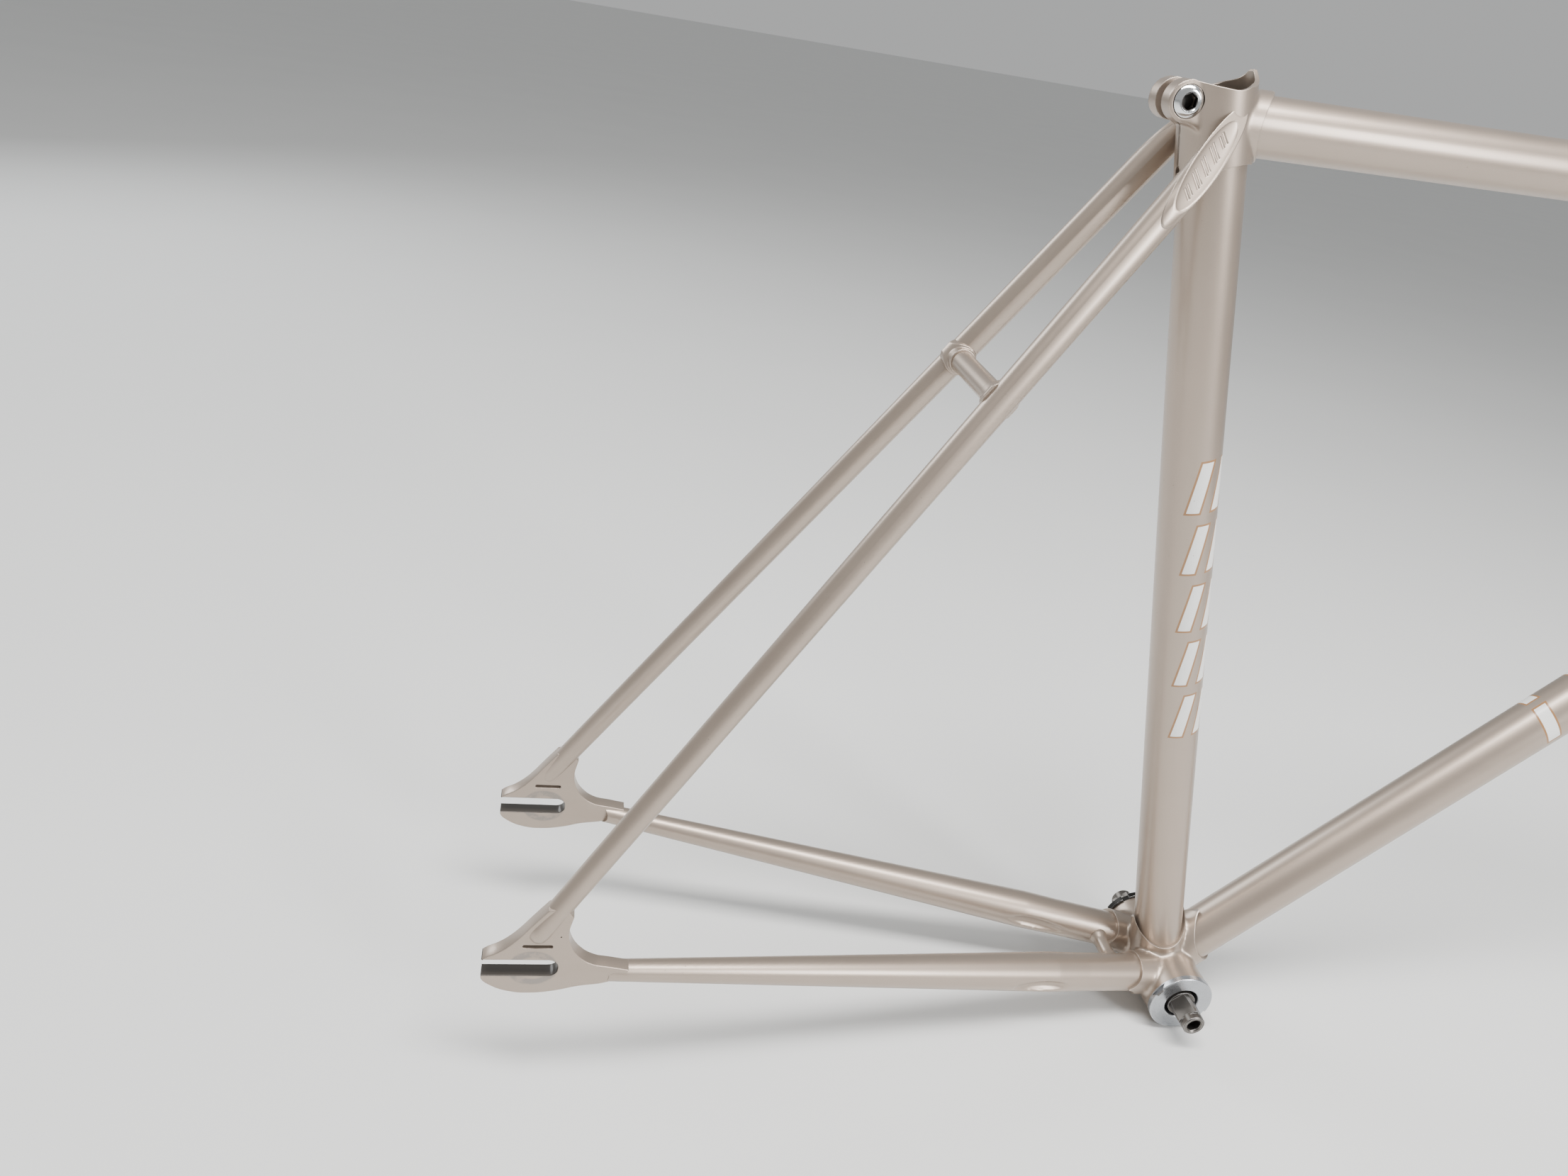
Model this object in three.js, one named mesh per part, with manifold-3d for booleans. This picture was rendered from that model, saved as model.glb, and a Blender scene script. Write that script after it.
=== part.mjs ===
// Lugged steel track bicycle frame with its bottom bracket unit, in millimetres.
// +X points forward, +Y to the rider's left, +Z up. The origin is the centre of the bottom bracket.

import * as THREE from 'three';
import { mergeVertices } from 'three/addons/utils/BufferGeometryUtils.js';
import Module from 'manifold-3d';

const wasm = await Module();
wasm.setup();

// Frame geometry
const SEAT_ANGLE = 75;              // degrees above the ground
const HEAD_ANGLE = 74.5;            // degrees above the ground
const DOWN_TUBE_ANGLE = 46;         // degrees above the ground
const TOP_TUBE_RISE = 1.2;          // degrees, rising towards the head
const SEAT_TUBE_LENGTH = 501;       // bottom bracket centre to top tube centre line
const TOP_TUBE_LENGTH = 525;        // seat tube centre line to head tube centre line
const CHAINSTAY_LENGTH = 400;       // bottom bracket centre to the middle of the axle slot
const BRACKET_DROP = 57;            // height of the axle slot above the bottom bracket
const HUB_SPACING = 120;            // between the inner faces of the dropouts

// Tubes: outer diameters and walls
const SEAT_TUBE_DIAMETER = 28.6;
const SEATPOST_BORE = 27.2;
const DOWN_TUBE_DIAMETER = 28.6;
const TOP_TUBE_DIAMETER = 25.4;
const MAIN_WALL = 0.8;
const HEAD_TUBE_DIAMETER = 31.8;
const HEAD_TUBE_BORE = 30.2;
const HEAD_ABOVE_TOP_TUBE = 25;     // head tube beyond the top tube centre line
const HEAD_BELOW_DOWN_TUBE = 32;    // head tube beyond the down tube centre line
const CHAINSTAY_DIAMETER = 22.2;
const CHAINSTAY_TIP_DIAMETER = 10.8;
const CHAINSTAY_PARALLEL = 66;      // untapered length from the bottom bracket centre
const SEATSTAY_DIAMETER = 14;
const SEATSTAY_TIP_DIAMETER = 11.6;
const STAY_WALL = 0.8;

// Where the stays run
const CHAINSTAY_OFFSET = 14.6;      // sideways from the centre plane, beside the bottom bracket
const CHAINSTAY_LIFT = 2.5;         // above the bottom bracket centre
const SEATSTAY_OFFSET = 21.9;       // sideways from the seat tube centre line at the top tube
const CHAINSTAY_SEAT = { x: 39.9, z: -5.5 };   // chainstay end, from the axle
const SEATSTAY_SEAT = { x: 16.3, z: 33 };      // seat stay end, from the axle

// Lugs
const GAP = 0.3;                    // brazing gap between any two touching pieces
const LUG_WALL = 1.5;
const SOCKET_START = 8;             // bottom bracket centre to where the sockets' bores start
const SHELL_WIDTH = 68;
const SHELL_DIAMETER = 38.6;
const SHELL_BORE = 35;
const SHELL_SOCKET_SIDE = 24.5;     // bottom bracket centre to the socket edge at the side of a tube
const DOWN_SOCKET_DROP = 4;         // how much the down tube socket's lower point is held back
const STAY_SOCKET_SIDE = 26.5;      // the same for the chainstay sockets, above their points
const STAY_SOCKET_POINT = 36;       // bottom bracket centre to the point of a chainstay socket
const SEAT_LUG_BELOW = 17.3;         // top tube centre line to the lug's lower edge at the side
const SEAT_LUG_FORWARD = 13.6;      // seat tube centre line to the lug's front edge at the side
const SEAT_LUG_TUBE_SWEEP = 17;     // radius of that edge
const SEAT_LUG_TOP = 14.6;          // top tube centre line to the lug's top edge, along the seat tube
const SEAT_LUG_SWEEP = 28;          // radius of the lower edge, lower at the back than the front
const SEAT_LUG_TAIL = 12;           // most that the edge drops below its height at the side
const SEAT_LUG_SWEEP_AHEAD = 4.2;    // its centre in front of the seat tube's centre line
const LUG_SPIKE_HEIGHT = 7.6;       // front point of the seat lug above its top edge
const LUG_SPIKE_TIP = 3;            // width of that point
const LUG_SPIKE_SWEEP = 13.5;       // radius of the swoop up to that point
const LUG_SPIKE_SLOPE = 30;         // radius of the slopes beside that point
const HEAD_LUG_SIDE = 20;           // head tube centre line to the socket edge at the side of a tube
const HEAD_LUG_REACH = 20;          // head lug along the head tube past the tube it holds

// Seat clamp
const EAR_RADIUS = 8.5;
const EAR_WIDTH = 21.5;             // over both ears
const EAR_SPLIT = 6;                // between the ears
const SLOT_WIDTH = 2.2;             // rear slot in the lug and the seat tube
const SLOT_HOLE_DIAMETER = 4.4;     // relief hole at the foot of the slot
const SLOT_LENGTH = 19;             // relief hole below the top tube centre line
const BINDER_BACK = 5.7;            // bolt centre behind the seat tube's outside
const BOLT_DIAMETER = 6;
const BOLT_HEAD_DIAMETER = 13;
const BOLT_HEAD_RECESS = 1.2;
const HEX_KEY = 6;
const NUT_SLEEVE_START = 6.4;       // inner end of the nut's sleeve from the centre plane

// Seat stay caps
const CAP_LENGTH = 46.5;
const CAP_RISE = 2.5;               // cap tip above the top tube centre line, along the stay
const STAY_OVERRUN = 8.5;           // seat stay past the top tube centre line, before it is cut
const CAP_TIP_INSET = 5.2;          // cap tip inside the stay's centre line
const CAP_THICKNESS = 1.8;
const CAP_HOLLOW = 1.1;             // depth of the scallop

// Bridges
const BRAKE_BRIDGE_UP = 322;        // along the seat stay from its lower end
const BRAKE_BRIDGE_DIAMETER = 11;
const BRAKE_BRIDGE_WALL = 1;
const COLLAR_DIAMETER = 14.4;
const COLLAR_WIDTH = 2.2;
const STAY_BRIDGE_BACK = 38.5;      // along the chainstay from the bottom bracket
const STAY_BRIDGE_DIAMETER = 8.4;
const STAY_BRIDGE_FLARE = 11;

// Dimples in the chainstays, for the tyre inside and the crank outside
const TYRE_DIMPLE = { at: 82, length: 30, depth: 3 };
const CRANK_DIMPLE = { at: 97, length: 24, depth: 3.4 };
const DIMPLE_SWELL = 0.04;          // share by which each dimple makes the stay taller
const DIMPLE_RING = 12;             // between the rings of points that follow a dimple

// Dropouts
const DROPOUT_THICKNESS = 8;
const AXLE_SLOT_HEIGHT = 10.3;
const SLOT_AHEAD = 19.1;            // closed end of the slot in front of the axle
const SLOT_BEHIND = 18.5;           // open end behind the axle
const SLIT = { x: 8.4, z: 14.3, length: 15, height: 2.3 };
const PLUG_LENGTH = 16;             // dropout plug inside each stay
const PLATE_TRIM = { along: 30, past: 4, around: 0.8 };   // plate cut away round a stay's end
const STAY_END_BEYOND = 1.5;        // centre of the round hollow across a stay's end, past the end

// Bottom bracket unit
const SPINDLE_LENGTH = 110;
const SPINDLE_DIAMETER = 17;
const TAPER_FLAT = 12.7;            // across the flats of the square at its outer end
const TAPER_LENGTH = 13.5;
const TAPER_ANGLE = 2;              // degrees on each face
const TAPER_TURN = 43;              // degrees the square is turned from level
const BOSS_DIAMETER = 13.4;
const BOSS_LENGTH = 4;
const CRANK_BOLT_BORE = 8.2;
const CRANK_BOLT_DEPTH = 22;
const BALL_DIAMETER = 6.35;
const BALLS = 9;
const BALL_PITCH_RADIUS = 12;
const BALL_ROW = 25;                // ball centres from the frame's centre plane
const CUP_BODY_DIAMETER = 34.4;
const CUP_MOUTH = 21;               // hole round the spindle
const CUP_INSIDE = 19;              // inner end of each cup from the centre plane
const FLANGE_DIAMETER = 39.6;
const FLANGE_THICKNESS = 3.3;
const FLANGE_FLATS = 36;
const FLANGE_TURN = 152;            // degrees, where the wrench flats face
const ADJUSTABLE_CUP_END = 39.4;
const PIN_HOLES = { count: 6, circle: 13.6, diameter: 3, depth: 3 };   // circle is its radius
const LOCKRING_DIAMETER = 41.6;
const LOCKRING_THICKNESS = 4;
const LOCKRING_NOTCHES = 8;
const LOCKRING_NOTCH = { depth: 2.2, width: 4.5 };
const CAGE_PLATE = 0.8;
const CAGE_FINGER = 1.1;
const SLEEVE_WALL = 0.6;

// Facets round a full circle
const ROUND = 24;
const SMALL_ROUND = 14;

// How far a solid that only cuts runs past what it shapes
const CUTTER_REACH = 90;

const PAINT = { color: 0xb3a08c, roughness: 0.38, metalness: 0.75 };
const BARE_STEEL = { color: 0x8d8b86, roughness: 0.45, metalness: 0.9 };
const CHROME = { color: 0xd9dcdf, roughness: 0.12, metalness: 1 };
const SILVER = { color: 0xb9bdc2, roughness: 0.3, metalness: 0.95 };
const DARK_STEEL = { color: 0x4a4640, roughness: 0.4, metalness: 0.9 };
const BLACK_STEEL = { color: 0x1d1c1b, roughness: 0.5, metalness: 0.6 };
const PLASTIC = { color: 0x22262b, roughness: 0.6, metalness: 0 };

// --- Solids -------------------------------------------------------------------------------

function solidOf(geometry) {
  const bare = geometry.clone();
  bare.deleteAttribute('normal');
  bare.deleteAttribute('uv');
  const merged = mergeVertices(bare, 1e-4);
  const corners = merged.index.array;
  const triangles = [];
  for (let i = 0; i < corners.length; i += 3) {
    const [a, b, c] = [corners[i], corners[i + 1], corners[i + 2]];
    if (a !== b && b !== c && c !== a) triangles.push(a, b, c);
  }
  return new wasm.Manifold(new wasm.Mesh({
    numProp: 3,
    vertProperties: Float32Array.from(merged.attributes.position.array),
    triVerts: Uint32Array.from(triangles),
  }));
}

function geometryOf(solid) {
  const mesh = solid.getMesh();
  const geometry = new THREE.BufferGeometry();
  geometry.setAttribute('position', new THREE.BufferAttribute(mesh.vertProperties, 3));
  geometry.setIndex(new THREE.BufferAttribute(mesh.triVerts, 1));
  geometry.computeVertexNormals();
  return geometry;
}

function piece(name, shape, look) {
  const geometry = shape.isBufferGeometry ? shape : geometryOf(shape);
  const mesh = new THREE.Mesh(geometry, new THREE.MeshStandardMaterial(look));
  mesh.name = name;
  return mesh;
}

const at = (x, y, z) => new THREE.Vector3(x, y, z);
const onLine = (line, distance) => line.start.clone().addScaledVector(line.direction, distance);
const radians = THREE.MathUtils.degToRad;

function lineBetween(start, end) {
  return { start, direction: end.clone().sub(start).normalize(), length: start.distanceTo(end) };
}

// Stands a shape made along +Y on a line, from a given distance along it.
function stoodOn(geometry, line, distance) {
  const turn = new THREE.Quaternion().setFromUnitVectors(at(0, 1, 0), line.direction);
  const place = onLine(line, distance);
  return geometry.applyMatrix4(new THREE.Matrix4().compose(place, turn, at(1, 1, 1)));
}

// Revolves a closed outline of [radius, height] corners about Y, faces out.
function revolved(outline, facets) {
  let area = 0;
  outline.forEach(([r, h], i) => {
    const [nextR, nextH] = outline[(i + 1) % outline.length];
    area += r * nextH - nextR * h;
  });
  const ordered = area > 0 ? outline : [...outline].reverse();
  const onAxis = ordered.findIndex(([r], i) => r === 0 && ordered.at(i - 1)[0] === 0);
  const turned = onAxis < 0 ? ordered : [...ordered.slice(onAxis), ...ordered.slice(0, onAxis)];
  const closed = onAxis < 0 ? [...turned, turned[0]] : turned;
  return new THREE.LatheGeometry(closed.map(([r, h]) => new THREE.Vector2(r, h)), facets);
}

function rod(line, from, to, radius, facets = ROUND, endRadius = radius) {
  const length = to - from;
  const cylinder = new THREE.CylinderGeometry(endRadius, radius, length, facets);
  return solidOf(stoodOn(cylinder.translate(0, length / 2, 0), line, from));
}

// A round bar lying across the frame, used to shape the ends of sockets and stays.
function crossBar(centre, radius, halfWidth = 50) {
  const line = { start: at(centre.x, 0, centre.z), direction: at(0, 1, 0) };
  return rod(line, -halfWidth, halfWidth, radius, ROUND);
}

function hollowTube(line, from, to, outer, inner) {
  return rod(line, from, to, outer).subtract(rod(line, from - 1, to + 1, inner));
}

// Everything on the side of a plane that its normal points to.
function halfSpace(point, normal) {
  const size = 400;
  const box = new THREE.BoxGeometry(size, size, size).translate(0, size / 2, 0);
  return solidOf(stoodOn(box, { start: point, direction: normal.clone().normalize() }, 0));
}

// A plate outlined in x and z, from one y to another.
function plate(shape, yLow, yHigh) {
  const geometry = new THREE.ExtrudeGeometry(shape, {
    depth: yHigh - yLow, bevelEnabled: false, curveSegments: 6,
  });
  return solidOf(geometry.rotateX(Math.PI / 2).translate(0, yHigh, 0));
}

// --- Centre lines -------------------------------------------------------------------------

const bracket = at(0, 0, 0);
const seatUp = at(-Math.cos(radians(SEAT_ANGLE)), 0, Math.sin(radians(SEAT_ANGLE)));
const seatBack = at(-seatUp.z, 0, seatUp.x);
const seatLine = { start: bracket, direction: seatUp };
const downTubeUp = at(Math.cos(radians(DOWN_TUBE_ANGLE)), 0, Math.sin(radians(DOWN_TUBE_ANGLE)));
const downLine = { start: bracket, direction: downTubeUp };
const seatCluster = onLine(seatLine, SEAT_TUBE_LENGTH);
const topForward = at(Math.cos(radians(TOP_TUBE_RISE)), 0, Math.sin(radians(TOP_TUBE_RISE)));
const topLine = { start: seatCluster, direction: topForward };
const headTop = onLine(topLine, TOP_TUBE_LENGTH);
const headDown = at(Math.cos(radians(HEAD_ANGLE)), 0, -Math.sin(radians(HEAD_ANGLE)));
const headLine = { start: headTop, direction: headDown };
const axle = at(-Math.sqrt(CHAINSTAY_LENGTH ** 2 - BRACKET_DROP ** 2), 0, BRACKET_DROP);

// Distances from the bottom bracket, and from the top tube, to where down and head tubes cross.
const crossing = headDown.x * downTubeUp.z - headDown.z * downTubeUp.x;
const headDrop = (headTop.z * downTubeUp.x - headTop.x * downTubeUp.z) / crossing;
const downTubeLength = onLine(headLine, headDrop).length();
const headFoot = headDrop + HEAD_BELOW_DOWN_TUBE;

const SIDES = { right: -1, left: 1 };
const stayMiddle = (HUB_SPACING + DROPOUT_THICKNESS) / 2 - 0.5;

function chainstayLine(side) {
  const end = at(axle.x + CHAINSTAY_SEAT.x, side * stayMiddle, axle.z + CHAINSTAY_SEAT.z);
  return lineBetween(at(0, side * CHAINSTAY_OFFSET, CHAINSTAY_LIFT), end);
}

function seatstayLine(side) {
  const foot = at(axle.x + SEATSTAY_SEAT.x, side * stayMiddle, axle.z + SEATSTAY_SEAT.z);
  return lineBetween(foot, at(seatCluster.x, side * SEATSTAY_OFFSET, seatCluster.z));
}

const seatTubeRadius = SEAT_TUBE_DIAMETER / 2;
const downTubeRadius = DOWN_TUBE_DIAMETER / 2;
const topTubeRadius = TOP_TUBE_DIAMETER / 2;
const headTubeRadius = HEAD_TUBE_DIAMETER / 2;
const shellRadius = SHELL_DIAMETER / 2;
const lugOver = (radius) => radius + GAP + LUG_WALL;

// --- Main tubes ---------------------------------------------------------------------------

// The seat and down tubes part along the plane midway between them, inside the shell.
const parting = seatUp.clone().sub(downTubeUp).normalize();
const mitreRadius = SHELL_BORE / 2 + 2 * GAP;
const mitreBar = crossBar(bracket, mitreRadius);

// Where the bore for a tube starts in the shell, which is before the tube's mitred end.
function boreStart(tubeRadius) {
  const mitre = Math.sqrt(Math.max(0, mitreRadius ** 2 - tubeRadius ** 2));
  return Math.max(0, Math.min(SOCKET_START, mitre - GAP));
}

const seatTopEdge = seatCluster.z + SEAT_LUG_TOP * seatUp.z;
const slotFoot = onLine(seatLine, SEAT_TUBE_LENGTH - SLOT_LENGTH);

// The rear slot with its relief hole, which lets the lug pinch the seat post.
function rearSlot() {
  const height = SLOT_LENGTH + SEAT_LUG_TOP + CUTTER_REACH;
  const blade = new THREE.BoxGeometry(CUTTER_REACH, height, SLOT_WIDTH)
    .translate(CUTTER_REACH / 2, height / 2, 0)
    .applyMatrix4(new THREE.Matrix4().makeBasis(seatBack, seatUp, at(0, 1, 0)))
    .translate(slotFoot.x, slotFoot.y, slotFoot.z);
  const hole = { start: slotFoot, direction: seatBack };
  return solidOf(blade).add(rod(hole, 1, CUTTER_REACH, SLOT_HOLE_DIAMETER / 2, SMALL_ROUND));
}

function seatTube() {
  const tube = hollowTube(seatLine, 0, SEAT_TUBE_LENGTH + 40, seatTubeRadius, SEATPOST_BORE / 2);
  return tube
    .subtract(mitreBar)
    .subtract(halfSpace(parting.clone().multiplyScalar(GAP / 2), parting.clone().negate()))
    .subtract(halfSpace(at(0, 0, seatTopEdge - 0.4), at(0, 0, 1)))
    .subtract(rearSlot());
}

function downTube() {
  const inner = downTubeRadius - MAIN_WALL;
  return hollowTube(downLine, 0, downTubeLength, downTubeRadius, inner)
    .subtract(mitreBar)
    .subtract(halfSpace(parting.clone().multiplyScalar(-GAP / 2), parting))
    .subtract(rod(headLine, -CUTTER_REACH, headFoot + CUTTER_REACH, headTubeRadius + GAP));
}

// A bar along the seat tube's upper end, for what is fitted to it.
function seatTubeBar(radius) {
  return rod(seatLine, SEAT_TUBE_LENGTH - CUTTER_REACH, SEAT_TUBE_LENGTH + CUTTER_REACH, radius);
}

function topTube() {
  const inner = topTubeRadius - MAIN_WALL;
  return hollowTube(topLine, 0, TOP_TUBE_LENGTH, topTubeRadius, inner)
    .subtract(seatTubeBar(seatTubeRadius + GAP))
    .subtract(rod(headLine, -CUTTER_REACH, CUTTER_REACH, headTubeRadius + GAP));
}

function headTube() {
  return hollowTube(headLine, -HEAD_ABOVE_TOP_TUBE, headFoot, headTubeRadius, HEAD_TUBE_BORE / 2);
}

// --- Lugs ---------------------------------------------------------------------------------

// A socket round a tube, cut back in a curve at the sides so that it runs out in two points.
// A drop repeats the cut that far below, which holds the lower point back.
function socket(line, radius, side, sweep = lugOver(radius) - 0.1, drop = 0) {
  const below = at(line.direction.z, 0, -line.direction.x);
  const centre = onLine(line, side + sweep);
  return rod(line, 0, side + sweep, lugOver(radius))
    .subtract(crossBar(centre, sweep))
    .subtract(crossBar(centre.clone().addScaledVector(below, drop), sweep));
}

// A chainstay's socket, cut back above and below one point low on its side.
function staySocket(line) {
  const radius = CHAINSTAY_DIAMETER / 2;
  const upper = { sweep: radius + 3.6, lift: radius - 1.1 };
  const lower = { sweep: radius + 1.9, lift: -radius - 3.9 };
  let sleeve = rod(line, 0, STAY_SOCKET_POINT, lugOver(radius));
  for (const { sweep, lift } of [upper, lower]) {
    const centre = onLine(line, STAY_SOCKET_SIDE + sweep);
    centre.z += lift;
    sleeve = sleeve.subtract(crossBar(centre, sweep));
  }
  return sleeve;
}

function headLug(line, tubeRadius, from, to, socketEnd) {
  const back = { start: onLine(line, socketEnd), direction: line.direction.clone().negate() };
  const sleeve = rod(headLine, from, to, lugOver(headTubeRadius));
  return sleeve.add(socket(back, tubeRadius, HEAD_LUG_SIDE))
    .subtract(rod(headLine, from - CUTTER_REACH, to + CUTTER_REACH, headTubeRadius + GAP))
    .subtract(rod(line, 0, socketEnd, tubeRadius + GAP));
}

function upperHeadLug() {
  return headLug(topLine, topTubeRadius, -HEAD_ABOVE_TOP_TUBE, HEAD_LUG_REACH, TOP_TUBE_LENGTH);
}

function lowerHeadLug() {
  return headLug(downLine, downTubeRadius, headDrop - HEAD_LUG_REACH, headFoot, downTubeLength);
}

const binder = at(seatCluster.x - seatTubeRadius - BINDER_BACK, 0, seatTopEdge - EAR_RADIUS);

// Everything above the seat lug's top edge, which swoops up to a point at the front.
function lugTopTrim() {
  const edgeAxis = seatCluster.x + SEAT_LUG_TOP * seatUp.x;
  const tip = seatTopEdge + LUG_SPIKE_HEIGHT;
  const sweepX = edgeAxis + seatTubeRadius - LUG_SPIKE_SWEEP - GAP;
  const turn = Math.asin((LUG_SPIKE_SWEEP - LUG_SPIKE_HEIGHT) / LUG_SPIKE_SWEEP);
  const shape = new THREE.Shape();
  shape.moveTo(edgeAxis - CUTTER_REACH, seatTopEdge);
  shape.lineTo(sweepX, seatTopEdge);
  shape.absarc(sweepX, seatTopEdge + LUG_SPIKE_SWEEP, LUG_SPIKE_SWEEP, -Math.PI / 2, -turn, false);
  shape.lineTo(edgeAxis + CUTTER_REACH, tip);
  shape.lineTo(edgeAxis + CUTTER_REACH, tip + CUTTER_REACH);
  shape.lineTo(edgeAxis - CUTTER_REACH, tip + CUTTER_REACH);
  return plate(shape, -CUTTER_REACH, CUTTER_REACH);
}

// Everything beside the front point, above the top edge, so that it narrows upwards.
function spikeTrim() {
  const sweep = LUG_SPIKE_SLOPE;
  const turn = Math.asin((sweep - LUG_SPIKE_HEIGHT) / sweep);
  const foot = LUG_SPIKE_TIP / 2 + sweep * Math.cos(turn);
  const shape = new THREE.Shape();
  shape.moveTo(CUTTER_REACH, 0);
  shape.lineTo(CUTTER_REACH, CUTTER_REACH);
  shape.lineTo(LUG_SPIKE_TIP / 2, CUTTER_REACH);
  shape.lineTo(LUG_SPIKE_TIP / 2, LUG_SPIKE_HEIGHT);
  shape.absarc(foot, sweep, sweep, Math.PI + turn, Math.PI * 1.5, false);
  const left = plate(shape, -CUTTER_REACH, 0)
    .rotate([0, 0, 90])
    .translate([seatCluster.x - CUTTER_REACH / 2, 0, seatTopEdge]);
  return left.add(left.mirror([0, 1, 0]));
}

// The lug's lower skirt round the seat tube, longest at the back where the slot ends.
function lowerSkirt() {
  const reach = SEAT_LUG_BELOW + Math.sqrt(SEAT_LUG_SWEEP ** 2 - SEAT_LUG_SWEEP_AHEAD ** 2);
  const centre = onLine(seatLine, SEAT_TUBE_LENGTH - reach)
    .addScaledVector(seatBack, -SEAT_LUG_SWEEP_AHEAD);
  const foot = SEAT_TUBE_LENGTH - SEAT_LUG_BELOW - SEAT_LUG_TAIL;
  return rod(seatLine, foot, SEAT_TUBE_LENGTH, lugOver(seatTubeRadius))
    .subtract(crossBar(centre, SEAT_LUG_SWEEP));
}

// The two clamp ears: one plate with a round end, split later.
function ears() {
  const shape = new THREE.Shape();
  const front = seatCluster.x;
  shape.moveTo(front, binder.z + EAR_RADIUS);
  shape.lineTo(binder.x, binder.z + EAR_RADIUS);
  shape.absarc(binder.x, binder.z, EAR_RADIUS, Math.PI / 2, Math.PI * 1.5, false);
  shape.quadraticCurveTo(front - 12, binder.z - EAR_RADIUS, front, binder.z - 2 * EAR_RADIUS);
  return plate(shape, -EAR_WIDTH / 2, EAR_WIDTH / 2);
}

function seatLug() {
  const sleeve = rod(seatLine, SEAT_TUBE_LENGTH - 5, SEAT_TUBE_LENGTH + 40, lugOver(seatTubeRadius));
  const split = plate(splitOutline(), -EAR_SPLIT / 2, EAR_SPLIT / 2);
  const across = { start: at(binder.x, 0, binder.z), direction: at(0, 1, 0) };
  const face = EAR_WIDTH / 2;
  const recess = face - BOLT_HEAD_RECESS;
  const headHole = BOLT_HEAD_DIAMETER / 2 + GAP;
  return sleeve
    .add(lowerSkirt())
    .add(socket(topLine, topTubeRadius, SEAT_LUG_FORWARD, SEAT_LUG_TUBE_SWEEP))
    .add(ears())
    .subtract(lugTopTrim())
    .subtract(spikeTrim())
    .subtract(seatTubeBar(seatTubeRadius + GAP))
    .subtract(rod(topLine, 0, CUTTER_REACH, topTubeRadius + GAP))
    .subtract(rearSlot())
    .subtract(split)
    .subtract(rod(across, -face - 1, 0, BOLT_DIAMETER / 2 + GAP, SMALL_ROUND))
    .subtract(rod(across, 0, face + 1, BOLT_DIAMETER / 2 + 1 + 2 * GAP, SMALL_ROUND))
    .subtract(rod(across, -face - BOLT_HEAD_DIAMETER, -recess, headHole, SMALL_ROUND))
    .subtract(rod(across, recess, face + BOLT_HEAD_DIAMETER, headHole, SMALL_ROUND));
}

// The wide gap between the ears, behind the seat tube.
function splitOutline() {
  const front = binder.x + 3;
  const shape = new THREE.Shape();
  shape.moveTo(front, binder.z - 2 * EAR_RADIUS);
  shape.lineTo(front, binder.z + 2 * EAR_RADIUS);
  shape.lineTo(front - 40, binder.z + 2 * EAR_RADIUS);
  shape.lineTo(front - 40, binder.z - 2 * EAR_RADIUS);
  return shape;
}

function bracketShell() {
  const stayBridgeLine = lineAcross(chainstayLine, STAY_BRIDGE_BACK);
  const across = { start: bracket, direction: at(0, 1, 0) };
  const half = SHELL_WIDTH / 2;
  const downSweep = lugOver(downTubeRadius) - 0.1;
  let shell = rod(across, -half, half, shellRadius)
    .add(socket(seatLine, seatTubeRadius, SHELL_SOCKET_SIDE))
    .add(socket(downLine, downTubeRadius, SHELL_SOCKET_SIDE, downSweep, DOWN_SOCKET_DROP));
  for (const side of Object.values(SIDES)) {
    shell = shell.add(staySocket(chainstayLine(side)));
  }
  for (const side of Object.values(SIDES)) {
    shell = shell.subtract(rod(chainstayLine(side), SOCKET_START, CUTTER_REACH, chainstayOver + GAP));
  }
  return shell
    .subtract(rod(seatLine, boreStart(seatTubeRadius), CUTTER_REACH, seatTubeRadius + GAP))
    .subtract(rod(downLine, boreStart(downTubeRadius), CUTTER_REACH, downTubeRadius + GAP))
    .subtract(rod(stayBridgeLine, 0, stayBridgeLine.length, STAY_BRIDGE_FLARE / 2 + GAP))
    .subtract(rod(across, -half - 1, half + 1, SHELL_BORE / 2));
}

// --- Stays --------------------------------------------------------------------------------

const chainstayOver = CHAINSTAY_DIAMETER / 2;
const chainstayTip = CHAINSTAY_TIP_DIAMETER / 2;
const seatstayOver = SEATSTAY_DIAMETER / 2;
const seatstayTip = SEATSTAY_TIP_DIAMETER / 2;

// Pushes a round dent into a stay from one direction, which swells it the other way; the wall follows.
function dent(geometry, line, towards, { at: place, length, depth }) {
  const points = geometry.attributes.position;
  const point = at(0, 0, 0);
  for (let i = 0; i < points.count; i += 1) {
    point.fromBufferAttribute(points, i).sub(line.start);
    const along = point.dot(line.direction);
    const radial = point.clone().addScaledVector(line.direction, -along);
    const swell = radial.clone().addScaledVector(towards, -radial.dot(towards));
    const facing = Math.max(0, radial.normalize().dot(towards));
    const reach = Math.exp(-(((along - place) / length) ** 2));
    point.addScaledVector(towards, -depth * reach * facing ** 2)
      .addScaledVector(swell, DIMPLE_SWELL * reach)
      .add(line.start);
    points.setXYZ(i, point.x, point.y, point.z);
  }
  return geometry;
}

function chainstayRadius(distance, length) {
  const share = Math.max(0, distance - CHAINSTAY_PARALLEL) / (length - CHAINSTAY_PARALLEL);
  return chainstayOver + (chainstayTip - chainstayOver) * share;
}

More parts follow.
